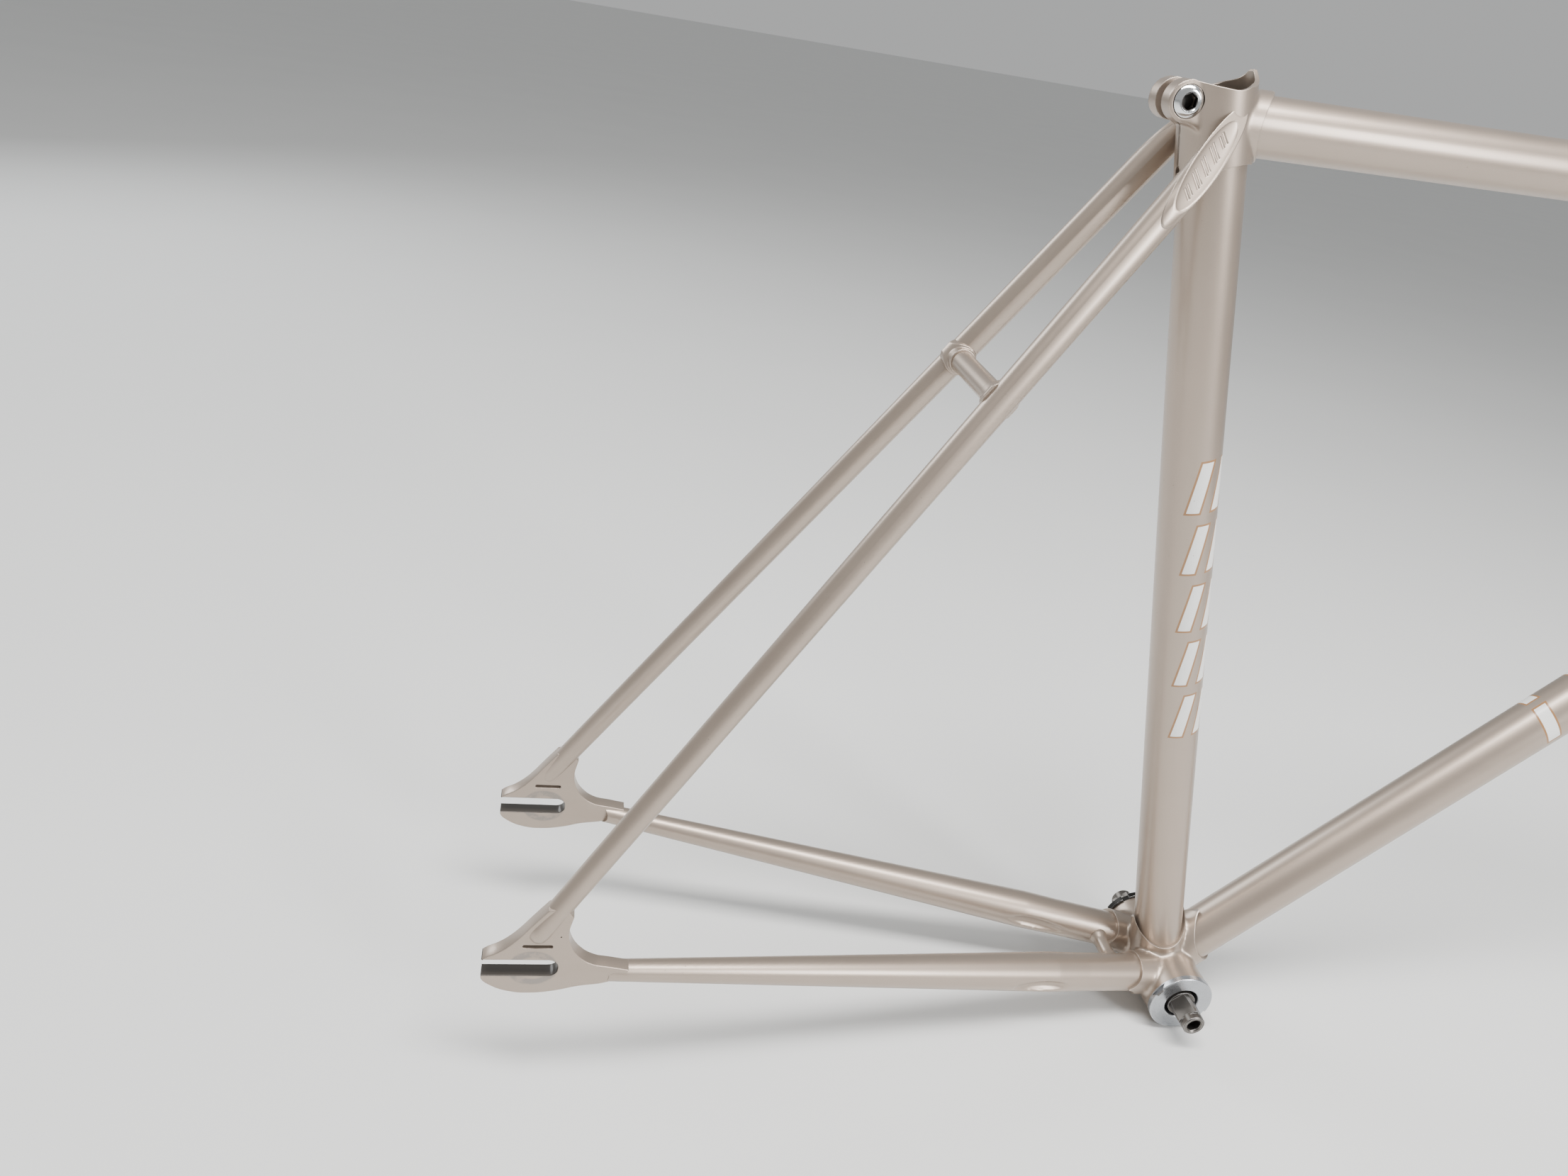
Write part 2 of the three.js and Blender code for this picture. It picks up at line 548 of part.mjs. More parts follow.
function chainstay(side) {
  const line = chainstayLine(side);
  const rings = [SOCKET_START, CHAINSTAY_PARALLEL - DIMPLE_RING];
  const pressedEnd = CRANK_DIMPLE.at + 2 * CRANK_DIMPLE.length;
  for (let ring = CHAINSTAY_PARALLEL; ring < pressedEnd; ring += DIMPLE_RING) rings.push(ring);
  rings.push(line.length);
  const outer = rings.map((ring) => [chainstayRadius(ring, line.length), ring]);
  const inner = outer.map(([radius, ring]) => [radius - STAY_WALL, ring]).reverse();
  const geometry = stoodOn(revolved([...outer, ...inner], SMALL_ROUND), line, 0);
  dent(geometry, line, at(0, -side, 0), TYRE_DIMPLE);
  dent(geometry, line, at(0, side, 0), CRANK_DIMPLE);
  return solidOf(geometry)
    .subtract(mitreBar)
    .subtract(rod(seatLine, boreStart(seatTubeRadius), CUTTER_REACH, seatTubeRadius + GAP))
    .subtract(stayEndBar(line, chainstayTip, 0));
}

// The bar that hollows the end of a stay where it meets its dropout.
function stayEndBar(line, tipRadius, shrink) {
  return crossBar(onLine(line, line.length + STAY_END_BEYOND), tipRadius + 1 - shrink, CUTTER_REACH);
}

// The seat stay's line turned round, so that its end is at the dropout.
function seatstayDown(side) {
  const up = seatstayLine(side);
  return { start: onLine(up, up.length), direction: up.direction.clone().negate(), length: up.length };
}

// The slanting face of a seat stay cap, offset outwards along its normal.
function capFace(side, offset) {
  const line = seatstayLine(side);
  const out = at(0, side, 0);
  out.addScaledVector(line.direction, -out.dot(line.direction)).normalize();
  const drop = seatstayOver + CAP_TIP_INSET;
  const normal = line.direction.clone().multiplyScalar(drop).addScaledVector(out, CAP_LENGTH).normalize();
  const tip = onLine(line, line.length + CAP_RISE).addScaledVector(out, -CAP_TIP_INSET);
  const down = line.direction.clone().multiplyScalar(-CAP_LENGTH).addScaledVector(out, drop);
  return { point: tip.clone().addScaledVector(normal, offset), normal, tip, down };
}

// What a seat stay and its cap stop against: the seat lug and the tubes in it.
function lugKeepOut() {
  const over = lugOver(seatTubeRadius) + GAP;
  return seatTubeBar(over).add(rod(topLine, 0, CUTTER_REACH, lugOver(topTubeRadius) + GAP));
}

function seatstay(side) {
  const line = seatstayDown(side);
  const top = -STAY_OVERRUN;
  const outer = rod(line, top, line.length, seatstayOver, SMALL_ROUND, seatstayTip);
  const wall = STAY_WALL;
  const inner = rod(line, top - 1, line.length + 1, seatstayOver - wall, SMALL_ROUND, seatstayTip - wall);
  const face = capFace(side, -CAP_THICKNESS - GAP);
  return outer.subtract(inner)
    .subtract(halfSpace(face.point, face.normal))
    .subtract(lugKeepOut())
    .subtract(stayEndBar(line, seatstayTip, 0));
}

function seatstayCap(side) {
  const line = seatstayDown(side);
  const outside = capFace(side, 0);
  const inside = capFace(side, -CAP_THICKNESS);
  const bar = rod(line, -STAY_OVERRUN, CAP_LENGTH + 20, seatstayOver, SMALL_ROUND);
  const basis = new THREE.Matrix4().makeBasis(
    outside.down.clone().normalize(),
    outside.normal,
    outside.down.clone().normalize().cross(outside.normal),
  );
  const middle = outside.tip.clone().addScaledVector(outside.down, 0.48);
  const hollow = new THREE.SphereGeometry(1, SMALL_ROUND, 12)
    .scale(CAP_LENGTH * 0.42, CAP_HOLLOW, seatstayOver * 0.76)
    .applyMatrix4(basis)
    .translate(middle.x, middle.y, middle.z);
  return bar
    .subtract(halfSpace(outside.point, outside.normal))
    .intersect(halfSpace(inside.point, inside.normal))
    .subtract(lugKeepOut())
    .subtract(solidOf(hollow));
}

// --- Dropouts -----------------------------------------------------------------------------

// Outline in x and z from the axle: lower jaw, chainstay arm, inner curve, seat stay arm, upper jaw.
function dropoutOutline() {
  const slot = AXLE_SLOT_HEIGHT / 2;
  const curve = { x: 44.9, z: 22.6, radius: 21.8 };
  const shape = new THREE.Shape();
  shape.moveTo(-SLOT_BEHIND, -slot);
  shape.quadraticCurveTo(-SLOT_BEHIND, -9.8, -14, -11.9);
  shape.splineThru([
    new THREE.Vector2(-4.1, -16.2), new THREE.Vector2(6.4, -17.1), new THREE.Vector2(17.4, -15.7),
    new THREE.Vector2(29.9, -11.9), new THREE.Vector2(curve.x, -9.8),
  ]);
  shape.lineTo(curve.x, curve.z - curve.radius);
  shape.absarc(curve.x, curve.z, curve.radius, -Math.PI / 2, -Math.PI, true);
  shape.lineTo(24, 36);
  shape.lineTo(11.7, 36);
  shape.splineThru([
    new THREE.Vector2(-1, 19.4), new THREE.Vector2(-6, 13.9), new THREE.Vector2(-11.1, 9.8),
    new THREE.Vector2(-16.3, 6.9),
  ]);
  shape.quadraticCurveTo(-SLOT_BEHIND, 6.4, -SLOT_BEHIND, slot);
  shape.lineTo(SLOT_AHEAD - slot, slot);
  shape.absarc(SLOT_AHEAD - slot, 0, slot, Math.PI / 2, -Math.PI / 2, true);
  return shape;
}

// The thin level slit above the axle slot.
function slitOutline() {
  const { x, z, length, height } = SLIT;
  const reach = (length - height) / 2;
  const shape = new THREE.Shape();
  shape.absarc(x - reach, z, height / 2, Math.PI / 2, Math.PI * 1.5, false);
  shape.absarc(x + reach, z, height / 2, -Math.PI / 2, Math.PI / 2, false);
  return shape;
}

function dropout(side) {
  const inner = side * HUB_SPACING / 2;
  const outer = inner + side * DROPOUT_THICKNESS;
  const [low, high] = inner < outer ? [inner, outer] : [outer, inner];
  let body = plate(dropoutOutline(), low, high).subtract(plate(slitOutline(), low - 1, high + 1));
  body = body.translate([axle.x, 0, axle.z]);
  const ends = [
    { line: chainstayLine(side), radius: chainstayTip },
    { line: seatstayDown(side), radius: seatstayTip },
  ];
  for (const { line, radius } of ends) {
    const [from, to] = [line.length - PLATE_TRIM.along, line.length + PLATE_TRIM.past];
    const taken = rod(line, from, to, radius + PLATE_TRIM.around + GAP, SMALL_ROUND);
    body = body.subtract(taken.subtract(stayEndBar(line, radius, GAP)));
    const plug = rod(line, line.length - PLUG_LENGTH, line.length, radius - STAY_WALL - GAP, SMALL_ROUND);
    body = body.add(plug);
  }
  return body;
}

// --- Bridges ------------------------------------------------------------------------------

// The straight line across the frame between two stays, at a distance along each.
function lineAcross(stayLine, distance) {
  const [right, left] = Object.values(SIDES).map((side) => onLine(stayLine(side), distance));
  return lineBetween(right, left);
}

function seatstayRadiusAt(distanceUp) {
  const length = seatstayLine(1).length + STAY_OVERRUN;
  return seatstayTip + (seatstayOver - seatstayTip) * (distanceUp / length);
}

const bridgeLine = lineAcross(seatstayLine, BRAKE_BRIDGE_UP);
const bridgeStayRadius = seatstayRadiusAt(BRAKE_BRIDGE_UP);

function stayBars(lineFor, radius) {
  const [right, left] = Object.values(SIDES).map((side) => {
    const line = lineFor(side);
    return rod(line, 20, line.length, radius, SMALL_ROUND);
  });
  return right.add(left);
}

function brakeBridge() {
  const radius = BRAKE_BRIDGE_DIAMETER / 2;
  const clear = bridgeStayRadius + COLLAR_WIDTH + 2 * GAP;
  return hollowTube(bridgeLine, 0, bridgeLine.length, radius, radius - BRAKE_BRIDGE_WALL)
    .subtract(stayBars(seatstayLine, clear));
}

function bridgeCollar(side) {
  const near = side < 0 ? 0 : bridgeLine.length / 2;
  return rod(bridgeLine, near, near + bridgeLine.length / 2, COLLAR_DIAMETER / 2, SMALL_ROUND)
    .subtract(stayBars(seatstayLine, bridgeStayRadius + GAP))
    .intersect(stayBars(seatstayLine, bridgeStayRadius + COLLAR_WIDTH + GAP));
}

function stayBridge() {
  const line = lineAcross(chainstayLine, STAY_BRIDGE_BACK);
  const [thin, wide] = [STAY_BRIDGE_DIAMETER / 2, STAY_BRIDGE_FLARE / 2];
  const half = line.length / 2;
  const waist = half - chainstayOver - 5;
  const outline = [[0, 0], [wide, 0], [wide, half - waist - 2.5], [thin, half - waist],
    [thin, half + waist], [wide, half + waist + 2.5], [wide, line.length], [0, line.length]];
  return solidOf(stoodOn(revolved(outline, SMALL_ROUND), line, 0))
    .subtract(stayBars(chainstayLine, chainstayOver + GAP));
}

// --- Seat clamp bolt ----------------------------------------------------------------------

function hexHole(depth, outerFace) {
  const radius = HEX_KEY / 2 / Math.cos(Math.PI / 6);
  const hole = new THREE.CylinderGeometry(radius, radius, depth, 6);
  return solidOf(hole.translate(0, outerFace + depth / 2, 0));
}

// The head's low dome, from its rim to the flat round the hex hole.
const headDome = (rim, crown) => [[BOLT_HEAD_DIAMETER / 2, rim], [5.4, rim - 0.5], [3.7, crown]];

function binderBolt() {
  const seat = -EAR_WIDTH / 2 + BOLT_HEAD_RECESS - GAP;
  const rim = seat - 1.8;
  const crown = rim - 0.9;
  const shank = BOLT_DIAMETER / 2;
  const outline = [[0, crown], ...headDome(rim, crown).reverse(), [BOLT_HEAD_DIAMETER / 2, seat],
    [shank, seat], [shank, EAR_WIDTH / 2 - 2], [0, EAR_WIDTH / 2 - 2]];
  const bolt = solidOf(revolved(outline, SMALL_ROUND)).subtract(hexHole(2.4, crown - 0.2));
  return bolt.translate(binder.toArray());
}

function binderNut() {
  const seat = EAR_WIDTH / 2 - BOLT_HEAD_RECESS + GAP;
  const bore = BOLT_DIAMETER / 2 + GAP;
  const [sleeve, rim] = [bore + 1, seat + 2];
  const outline = [[bore, NUT_SLEEVE_START], [sleeve, NUT_SLEEVE_START], [sleeve, seat],
    [BOLT_HEAD_DIAMETER / 2, seat], [BOLT_HEAD_DIAMETER / 2, rim - 0.6], [5.6, rim], [bore, rim]];
  return solidOf(revolved(outline, SMALL_ROUND)).translate(binder.toArray());
}

// --- Bottom bracket unit ------------------------------------------------------------------

const ballClearance = BALL_DIAMETER / 2 + GAP;
const spindleRadius = SPINDLE_DIAMETER / 2;

// Points of the groove a ball runs in, from one angle to another, in radius and height.
function raceArc(fromDegrees, toDegrees, row) {
  return [0, 1, 2, 3].map((step) => {
    const angle = radians(fromDegrees + (toDegrees - fromDegrees) * step / 3);
    return [BALL_PITCH_RADIUS + ballClearance * Math.cos(angle), row + ballClearance * Math.sin(angle)];
  });
}

// Outline of a cup on the left side: thread, skirt, race and mouth. Mirrored for the right.
function cupOutline(outerEnd, flangeInner, flangeRadius) {
  const body = CUP_BODY_DIAMETER / 2;
  const skirt = BALL_PITCH_RADIUS + ballClearance;
  const mouth = CUP_MOUTH / 2;
  const race = raceArc(0, 90, BALL_ROW);
  return [[body, CUP_INSIDE], [body, flangeInner], [flangeRadius, flangeInner], [flangeRadius, outerEnd],
    [mouth, outerEnd], [mouth, race.at(-1)[1]], ...race.reverse(), [skirt, CUP_INSIDE]];
}

function fixedCup() {
  const seat = SHELL_WIDTH / 2 + GAP;
  const face = seat + FLANGE_THICKNESS;
  const cup = solidOf(revolved(cupOutline(face, seat, FLANGE_DIAMETER / 2), ROUND).rotateX(Math.PI));
  const away = at(Math.cos(radians(FLANGE_TURN)), 0, Math.sin(radians(FLANGE_TURN)));
  let flanged = cup;
  for (const turn of [1, -1]) {
    const flat = away.clone().multiplyScalar(turn);
    const cutter = halfSpace(flat.clone().multiplyScalar(FLANGE_FLATS / 2), flat);
    flanged = flanged.subtract(cutter);
  }
  return flanged;
}

function adjustableCup() {
  const seat = SHELL_WIDTH / 2;
  let cup = solidOf(revolved(cupOutline(ADJUSTABLE_CUP_END, seat, CUP_BODY_DIAMETER / 2), ROUND));
  for (let pin = 0; pin < PIN_HOLES.count; pin += 1) {
    const angle = pin * 2 * Math.PI / PIN_HOLES.count;
    const place = at(PIN_HOLES.circle * Math.cos(angle), 0, PIN_HOLES.circle * Math.sin(angle));
    const hole = { start: place, direction: at(0, 1, 0) };
    const bottom = ADJUSTABLE_CUP_END - PIN_HOLES.depth;
    cup = cup.subtract(rod(hole, bottom, ADJUSTABLE_CUP_END + 1, PIN_HOLES.diameter / 2, 12));
  }
  return cup;
}

function lockring() {
  const seat = SHELL_WIDTH / 2 + GAP;
  const bore = CUP_BODY_DIAMETER / 2 + GAP;
  const over = LOCKRING_DIAMETER / 2;
  const outline = [[bore, seat], [over, seat], [over, seat + LOCKRING_THICKNESS - 0.8],
    [over - 0.8, seat + LOCKRING_THICKNESS], [bore, seat + LOCKRING_THICKNESS]];
  let ring = solidOf(revolved(outline, ROUND));
  for (let notch = 0; notch < LOCKRING_NOTCHES; notch += 1) {
    const { depth, width } = LOCKRING_NOTCH;
    const cutter = new THREE.BoxGeometry(2 * depth, 20, width).translate(over, seat, 0)
      .rotateY((notch + 0.3) * 2 * Math.PI / LOCKRING_NOTCHES);
    ring = ring.subtract(solidOf(cutter));
  }
  return ring;
}

// The square end of the spindle, widening inwards, with its edges turned round.
function squareTaper(side) {
  const half = TAPER_FLAT / 2;
  const wide = half + TAPER_LENGTH * Math.tan(radians(TAPER_ANGLE));
  const square = new THREE.CylinderGeometry(half * Math.SQRT2, wide * Math.SQRT2, TAPER_LENGTH, 4)
    .rotateY(Math.PI / 4 + radians(TAPER_TURN))
    .translate(0, TAPER_LENGTH / 2, 0);
  const round = new THREE.CylinderGeometry(spindleRadius - 0.2, spindleRadius - 0.2, TAPER_LENGTH, ROUND)
    .translate(0, TAPER_LENGTH / 2, 0);
  const root = SPINDLE_LENGTH / 2 - BOSS_LENGTH - TAPER_LENGTH;
  const taper = solidOf(square).intersect(solidOf(round)).translate([0, root, 0]);
  return side > 0 ? taper : taper.mirror([0, 1, 0]);
}

function spindle() {
  const half = SPINDLE_LENGTH / 2;
  const root = half - BOSS_LENGTH - TAPER_LENGTH;
  const shoulder = raceArc(180, 250, BALL_ROW);
  const [waist, boss] = [spindleRadius - 1.5, BOSS_DIAMETER / 2];
  const upper = [[waist, 16], [shoulder.at(-1)[0] - 0.5, 17.5], ...shoulder.reverse(), [spindleRadius, root]];
  const lower = upper.map(([radius, height]) => [radius, -height]).reverse();
  const shaft = solidOf(revolved([[0, -root], ...lower, ...upper, [0, root]], ROUND));
  let body = shaft;
  for (const side of Object.values(SIDES)) {
    const end = { start: bracket, direction: at(0, side, 0) };
    body = body.add(squareTaper(side)).add(rod(end, half - BOSS_LENGTH - 1, half, boss, SMALL_ROUND));
  }
  for (const side of Object.values(SIDES)) {
    const end = { start: bracket, direction: at(0, side, 0) };
    const bore = CRANK_BOLT_BORE / 2;
    body = body
      .subtract(rod(end, half - CRANK_BOLT_DEPTH, half + 1, bore, SMALL_ROUND))
      .subtract(rod(end, half - 1, half + 0.1, bore, SMALL_ROUND, bore + 1));
  }
  return body;
}

function dustSleeve() {
  const outer = SHELL_BORE / 2 - 1;
  const reach = CUP_INSIDE - GAP;
  const across = { start: bracket, direction: at(0, 1, 0) };
  return hollowTube(across, -reach, reach, outer, outer - SLEEVE_WALL);
}

// The ring that holds the balls, with a finger between each two of them.
function ballCage(side) {
  const inner = BALL_PITCH_RADIUS - 0.2;
  const outer = BALL_PITCH_RADIUS + ballClearance - GAP - 0.1;
  const base = BALL_ROW - ballClearance - CAGE_PLATE;
  const across = { start: bracket, direction: at(0, 1, 0) };
  let cage = hollowTube(across, base, base + CAGE_PLATE, outer, inner);
  for (let finger = 0; finger < BALLS; finger += 1) {
    const bar = new THREE.BoxGeometry(outer - inner - 1, 4, CAGE_FINGER)
      .translate((outer + inner) / 2 + 0.4, base + 2.3, 0)
      .rotateY((finger + 0.5) * 2 * Math.PI / BALLS);
    cage = cage.add(solidOf(bar));
  }
  return side > 0 ? cage : cage.mirror([0, 1, 0]);
}

function ballMesh(name, side, index) {
  const geometry = new THREE.IcosahedronGeometry(BALL_DIAMETER / 2, 1);
  const ball = piece(name, geometry, CHROME);
  const angle = index * 2 * Math.PI / BALLS;
  ball.position.set(Math.cos(angle), 0, -Math.sin(angle)).multiplyScalar(BALL_PITCH_RADIUS);
  ball.position.y = side * BALL_ROW;
  return ball;
}

// --- Assembly -----------------------------------------------------------------------------

const group = new THREE.Group();
group.add(
  piece('seat_tube', seatTube(), PAINT),
  piece('down_tube', downTube(), PAINT),
  piece('top_tube', topTube(), PAINT),
  piece('head_tube', headTube(), PAINT),
  piece('seat_lug', seatLug(), PAINT),
  piece('upper_head_lug', upperHeadLug(), PAINT),
  piece('lower_head_lug', lowerHeadLug(), PAINT),
  piece('bottom_bracket_shell', bracketShell(), PAINT),
  piece('brake_bridge', brakeBridge(), PAINT),
  piece('chainstay_bridge', stayBridge(), PAINT),
  piece('binder_bolt', binderBolt(), CHROME),
  piece('binder_nut', binderNut(), CHROME),
  piece('fixed_cup', fixedCup(), SILVER),
  piece('adjustable_cup', adjustableCup(), SILVER),
  piece('lockring', lockring(), BLACK_STEEL),
  piece('spindle', spindle(), DARK_STEEL),
  piece('dust_sleeve', dustSleeve(), PLASTIC),
);

for (const [name, side] of Object.entries(SIDES)) {
  group.add(
    piece(`chainstay_${name}`, chainstay(side), PAINT),
    piece(`seatstay_${name}`, seatstay(side), PAINT),
    piece(`seatstay_cap_${name}`, seatstayCap(side), PAINT),
    piece(`dropout_${name}`, dropout(side), BARE_STEEL),
    piece(`bridge_collar_${name}`, bridgeCollar(side), PAINT),
    piece(`ball_cage_${name}`, ballCage(side), BARE_STEEL),
  );
  for (let index = 0; index < BALLS; index += 1) {
    group.add(ballMesh(`ball_${name}_${index + 1}`, side, index));
  }
}

export default group;
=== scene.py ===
from math import cos, pi, radians, sin, sqrt, tan

import bpy
from mathutils import Matrix, Vector


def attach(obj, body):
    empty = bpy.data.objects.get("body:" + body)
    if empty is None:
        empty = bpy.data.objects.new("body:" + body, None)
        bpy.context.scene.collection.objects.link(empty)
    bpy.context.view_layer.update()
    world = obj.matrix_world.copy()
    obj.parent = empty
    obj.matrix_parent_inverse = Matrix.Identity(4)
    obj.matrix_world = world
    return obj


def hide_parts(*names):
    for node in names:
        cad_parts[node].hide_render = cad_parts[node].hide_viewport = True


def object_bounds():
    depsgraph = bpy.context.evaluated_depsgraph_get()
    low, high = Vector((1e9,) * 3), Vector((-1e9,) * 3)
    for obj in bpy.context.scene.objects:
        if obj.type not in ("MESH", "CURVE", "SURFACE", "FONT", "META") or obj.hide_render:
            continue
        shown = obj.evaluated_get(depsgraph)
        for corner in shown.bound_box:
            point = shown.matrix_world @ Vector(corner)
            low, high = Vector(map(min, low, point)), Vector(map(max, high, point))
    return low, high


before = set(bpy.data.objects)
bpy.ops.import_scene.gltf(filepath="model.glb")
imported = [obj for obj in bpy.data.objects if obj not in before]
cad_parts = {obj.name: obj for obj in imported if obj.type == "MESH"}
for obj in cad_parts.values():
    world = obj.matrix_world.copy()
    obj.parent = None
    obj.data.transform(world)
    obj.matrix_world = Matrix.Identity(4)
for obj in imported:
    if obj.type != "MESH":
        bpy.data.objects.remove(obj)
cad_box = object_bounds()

# --------------------------------------
# Bottom bracket shell. An investment cast steel shell with four sockets for the seat tube, the
# down tube and the two chainstays. The tubes are brazed in, the shell's ends are faced square,
# and the whole frame is then sprayed one satin champagne metallic.

MM = 0.001
BRACKET = Vector((0, 0, 0))
ACROSS = Vector((0, 1, 0))
SEAT_ANGLE = radians(75)
DOWN_ANGLE = radians(46)
SEAT_UP = Vector((-cos(SEAT_ANGLE), 0, sin(SEAT_ANGLE)))
DOWN_UP = Vector((cos(DOWN_ANGLE), 0, sin(DOWN_ANGLE)))
SHELL_HALF_WIDTH = 34 * MM
SHELL_RADIUS = 19.3 * MM
SHELL_BORE = 17.5 * MM
SEAT_TUBE = 14.3 * MM
DOWN_TUBE = 14.3 * MM
LUG_WALL = 1.8 * MM
BRAZED_IN = 0.03 * MM             # the lug grips the tube by this much, so no gap shows
SOCKET_SIDE = 24.5 * MM           # shell centre to a socket's edge at the side of its tube
SOCKET_SWEEP = 16 * MM
CHAINSTAY = 11.1 * MM
STAY_SOCKET_SIDE = 26.5 * MM
STAY_SOCKET_POINT = 36 * MM
CASTING_GRAIN = 0.9 * MM
AXLE = Vector((-395.92, 0, 57)) * MM
CHAINSTAY_ROOT = Vector((0, 14.6, 2.5)) * MM
CHAINSTAY_SEAT = AXLE + Vector((39.9, 63.5, -5.5)) * MM
SIDES = {"right": -1, "left": 1}


def sided(point, side):
    """The point on the right or the left of the frame."""
    return Vector((point.x, side * abs(point.y), point.z))


def bar(name, start, end, radius, end_radius=None, sides=96):
    """A closed round bar, straight or tapered, from one point to another."""
    bpy.ops.object.select_all(action="DESELECT")
    along = Vector(end) - Vector(start)
    bpy.ops.mesh.primitive_cone_add(
        vertices=sides, radius1=radius, radius2=end_radius or radius, depth=along.length,
        location=(Vector(start) + Vector(end)) / 2,
        rotation=along.to_track_quat("Z", "Y").to_euler())
    made = bpy.context.object
    made.name = name
    bpy.ops.object.transform_apply()
    return made


def cutter(start, end, radius, end_radius=None, sides=96):
    """A bar that is only ever used to cut with."""
    return bar("cutter", start, end, radius, end_radius, sides)


def cross_bar(centre, radius, half_width=0.06):
    """A cutter lying across the frame."""
    reach = ACROSS * half_width
    return cutter(centre - reach, centre + reach, radius)


def block(low, high):
    """A box between two corners, only ever used to cut with."""
    low, high = Vector(low), Vector(high)
    bpy.ops.object.select_all(action="DESELECT")
    bpy.ops.mesh.primitive_cube_add(size=1, location=(low + high) / 2, scale=high - low)
    bpy.ops.object.transform_apply()
    return bpy.context.object


def select(piece):
    """Selects this piece alone."""
    bpy.ops.object.select_all(action="DESELECT")
    piece.select_set(True)
    bpy.context.view_layer.objects.active = piece


def apply(piece, kind, **settings):
    """Adds a modifier to the piece and applies it."""
    select(piece)
    modifier = piece.modifiers.new("step", kind)
    for name, value in settings.items():
        setattr(modifier, name, value)
    bpy.ops.object.modifier_apply(modifier="step")
    return piece


def combine(piece, operation, *tools):
    """Joins the tools to the piece, cuts them out of it, or keeps what they share."""
    for tool in tools:
        apply(piece, "BOOLEAN", operation=operation, solver="MANIFOLD", object=tool)
        bpy.data.objects.remove(tool)
    return piece


def cast(piece, grain, passes):
    """Melts the joins of a piece into the rounded fillets of a casting."""
    apply(piece, "REMESH", mode="VOXEL", voxel_size=grain)
    return apply(piece, "SMOOTH", factor=0.5, iterations=passes)


def smooth(piece, degrees_apart=32):
    """Shades the piece smooth, except over edges sharper than this."""
    select(piece)
    bpy.ops.object.shade_smooth_by_angle(angle=radians(degrees_apart))


def chainstay_line(side):
    """Where a chainstay's centre line starts and ends."""
    return sided(CHAINSTAY_ROOT, side), sided(CHAINSTAY_SEAT, side)


shell = bar("bottom_bracket_shell", -ACROSS * SHELL_HALF_WIDTH * 1.2, ACROSS * SHELL_HALF_WIDTH * 1.2,
            SHELL_RADIUS)
combine(shell, "UNION",
        bar("socket", BRACKET, SEAT_UP * 0.046, SEAT_TUBE + LUG_WALL),
        bar("socket", BRACKET, DOWN_UP * 0.046, DOWN_TUBE + LUG_WALL))
for side in SIDES.values():
    start, end = chainstay_line(side)
    along = (end - start).normalized()
    socket_end = start + along * STAY_SOCKET_POINT * 1.1
    combine(shell, "UNION", bar("socket", start, socket_end, CHAINSTAY + LUG_WALL))
cast(shell, CASTING_GRAIN, 16)

edge = SOCKET_SIDE + SOCKET_SWEEP
below_down = Vector((DOWN_UP.z, 0, -DOWN_UP.x))
combine(shell, "DIFFERENCE",
        cross_bar(SEAT_UP * edge, SOCKET_SWEEP),
        cross_bar(DOWN_UP * edge, SOCKET_SWEEP),
        cross_bar(DOWN_UP * edge + below_down * 4 * MM, SOCKET_SWEEP),
        cutter(SEAT_UP * edge, SEAT_UP * 0.09, 0.03),
        cutter(DOWN_UP * edge, DOWN_UP * 0.09, 0.03))
for side in SIDES.values():
    start, end = chainstay_line(side)
    along = (end - start).normalized()
    for sweep, lift in ((14.7 * MM, 10 * MM), (13 * MM, -15 * MM)):
        centre = start + along * (STAY_SOCKET_SIDE + sweep) + Vector((0, 0, lift))
        centre.y = 0
        combine(shell, "DIFFERENCE", cross_bar(centre, sweep))
    combine(shell, "DIFFERENCE",
            cutter(start + along * STAY_SOCKET_POINT, start + along * 0.09, 0.018),
            cutter(start + along * 8 * MM, start + along * 0.09, CHAINSTAY - BRAZED_IN),
            cutter(ACROSS * side * SHELL_HALF_WIDTH, ACROSS * side * 0.06, 0.04))
combine(shell, "DIFFERENCE",
        cutter(SEAT_UP * 8 * MM, SEAT_UP * 0.09, SEAT_TUBE - BRAZED_IN),
        cutter(DOWN_UP * 8 * MM, DOWN_UP * 0.09, DOWN_TUBE - BRAZED_IN),
        cross_bar(BRACKET, SHELL_BORE))
smooth(shell)


